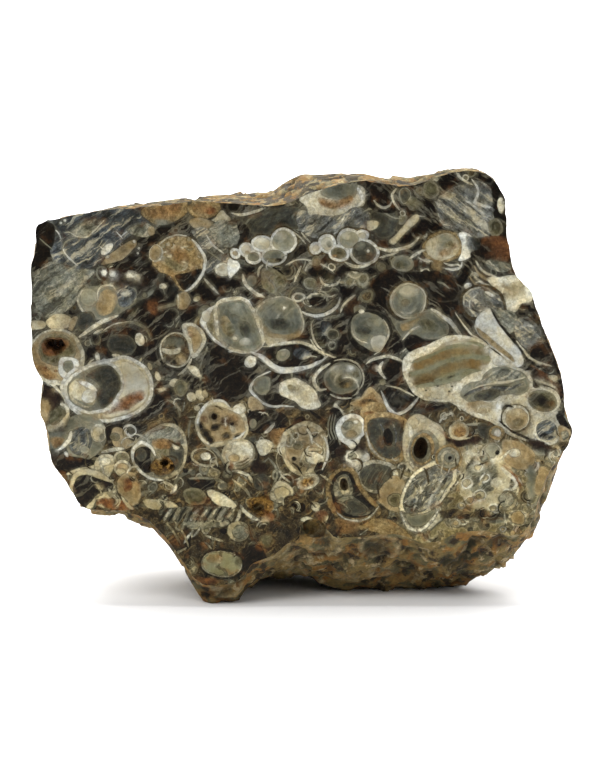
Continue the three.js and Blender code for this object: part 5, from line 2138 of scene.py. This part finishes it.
MIDDLE = (0.0, 0.0, 0.037)
area_light("key", (-0.25, -0.5, 0.6), MIDDLE, (0.45, 0.35), 3.6)
area_light("fill", (0.45, -0.55, 0.35), MIDDLE, (0.5, 0.4), 1.1)
area_light("top", (0.0, 0.12, 0.7), MIDDLE, (0.7, 0.5), 6.5)
area_light("back", (0.0, 0.75, 0.6), (0.0, 0.75, 0.0), (1.6, 0.8), 14.0)
print("lights hung")

# %% [markdown]
# ## The light tent
#
# Polish mirrors what stands in front of it. In a studio a dark card hangs below the lens, so
# the dark chalcedony stays dark. A card could be modelled, but it would stand in the view.
# The world does the same: white behind, dark in front, and plain white to the camera.

# %% Set up the world
DARK_CARD = 0.05
TENT_WHITE = 0.85


def light_tent():
    world = bpy.data.worlds.new("light_tent")
    world.use_nodes = True
    nodes, links = world.node_tree.nodes, world.node_tree.links
    toward = nodes.new("ShaderNodeSeparateXYZ")
    links.new(nodes.new("ShaderNodeTexCoord").outputs["Generated"], toward.inputs[0])
    fade = nodes.new("ShaderNodeMapRange")
    fade.interpolation_type = "SMOOTHSTEP"
    links.new(toward.outputs["Y"], fade.inputs["Value"])
    for socket, value in (("From Min", -0.55), ("From Max", 0.15),
                          ("To Min", DARK_CARD), ("To Max", TENT_WHITE)):
        fade.inputs[socket].default_value = value
    seen = nodes.new("ShaderNodeMath")
    seen.operation = "MAXIMUM"
    links.new(fade.outputs[0], seen.inputs[0])
    links.new(nodes.new("ShaderNodeLightPath").outputs["Is Camera Ray"], seen.inputs[1])
    links.new(seen.outputs[0], nodes["Background"].inputs["Strength"])
    nodes["Background"].inputs["Color"].default_value = (1.0, 1.0, 1.0, 1.0)
    bpy.context.scene.world = world
    bpy.context.scene.view_settings.view_transform = "Standard"


light_tent()
print("light tent up")

# %% [markdown]
# ## The camera
#
# A wide lens close by would make the near edge of the stone bulge. A long lens from far off
# keeps the face's shape true. It looks down by ten degrees and square on to the polished
# face, and its distance is worked out so that one square of the paper is one pixel.

# %% Set up the camera
LENS = 250.0
SENSOR = 36.0
FRAME_HEIGHT = 776
FRAME_CENTRE = (300, 388)


def make_camera():
    lens = bpy.data.cameras.new("camera")
    lens.lens = LENS
    lens.sensor_width = SENSOR
    lens.clip_end = 10.0
    camera = bpy.data.objects.new("camera", lens)
    aim = to_stone(*FRAME_CENTRE)
    distance = SQUARE * FRAME_HEIGHT * LENS / SENSOR
    away = Vector((0.0, -math.cos(VIEW_TILT), math.sin(VIEW_TILT)))
    camera.location = aim + away * distance
    camera.rotation_euler = (math.pi / 2 - VIEW_TILT, 0.0, 0.0)
    bpy.context.scene.collection.objects.link(camera)
    bpy.context.scene.camera = camera
    return distance


print("camera stands", round(make_camera() / MM), "mm away")
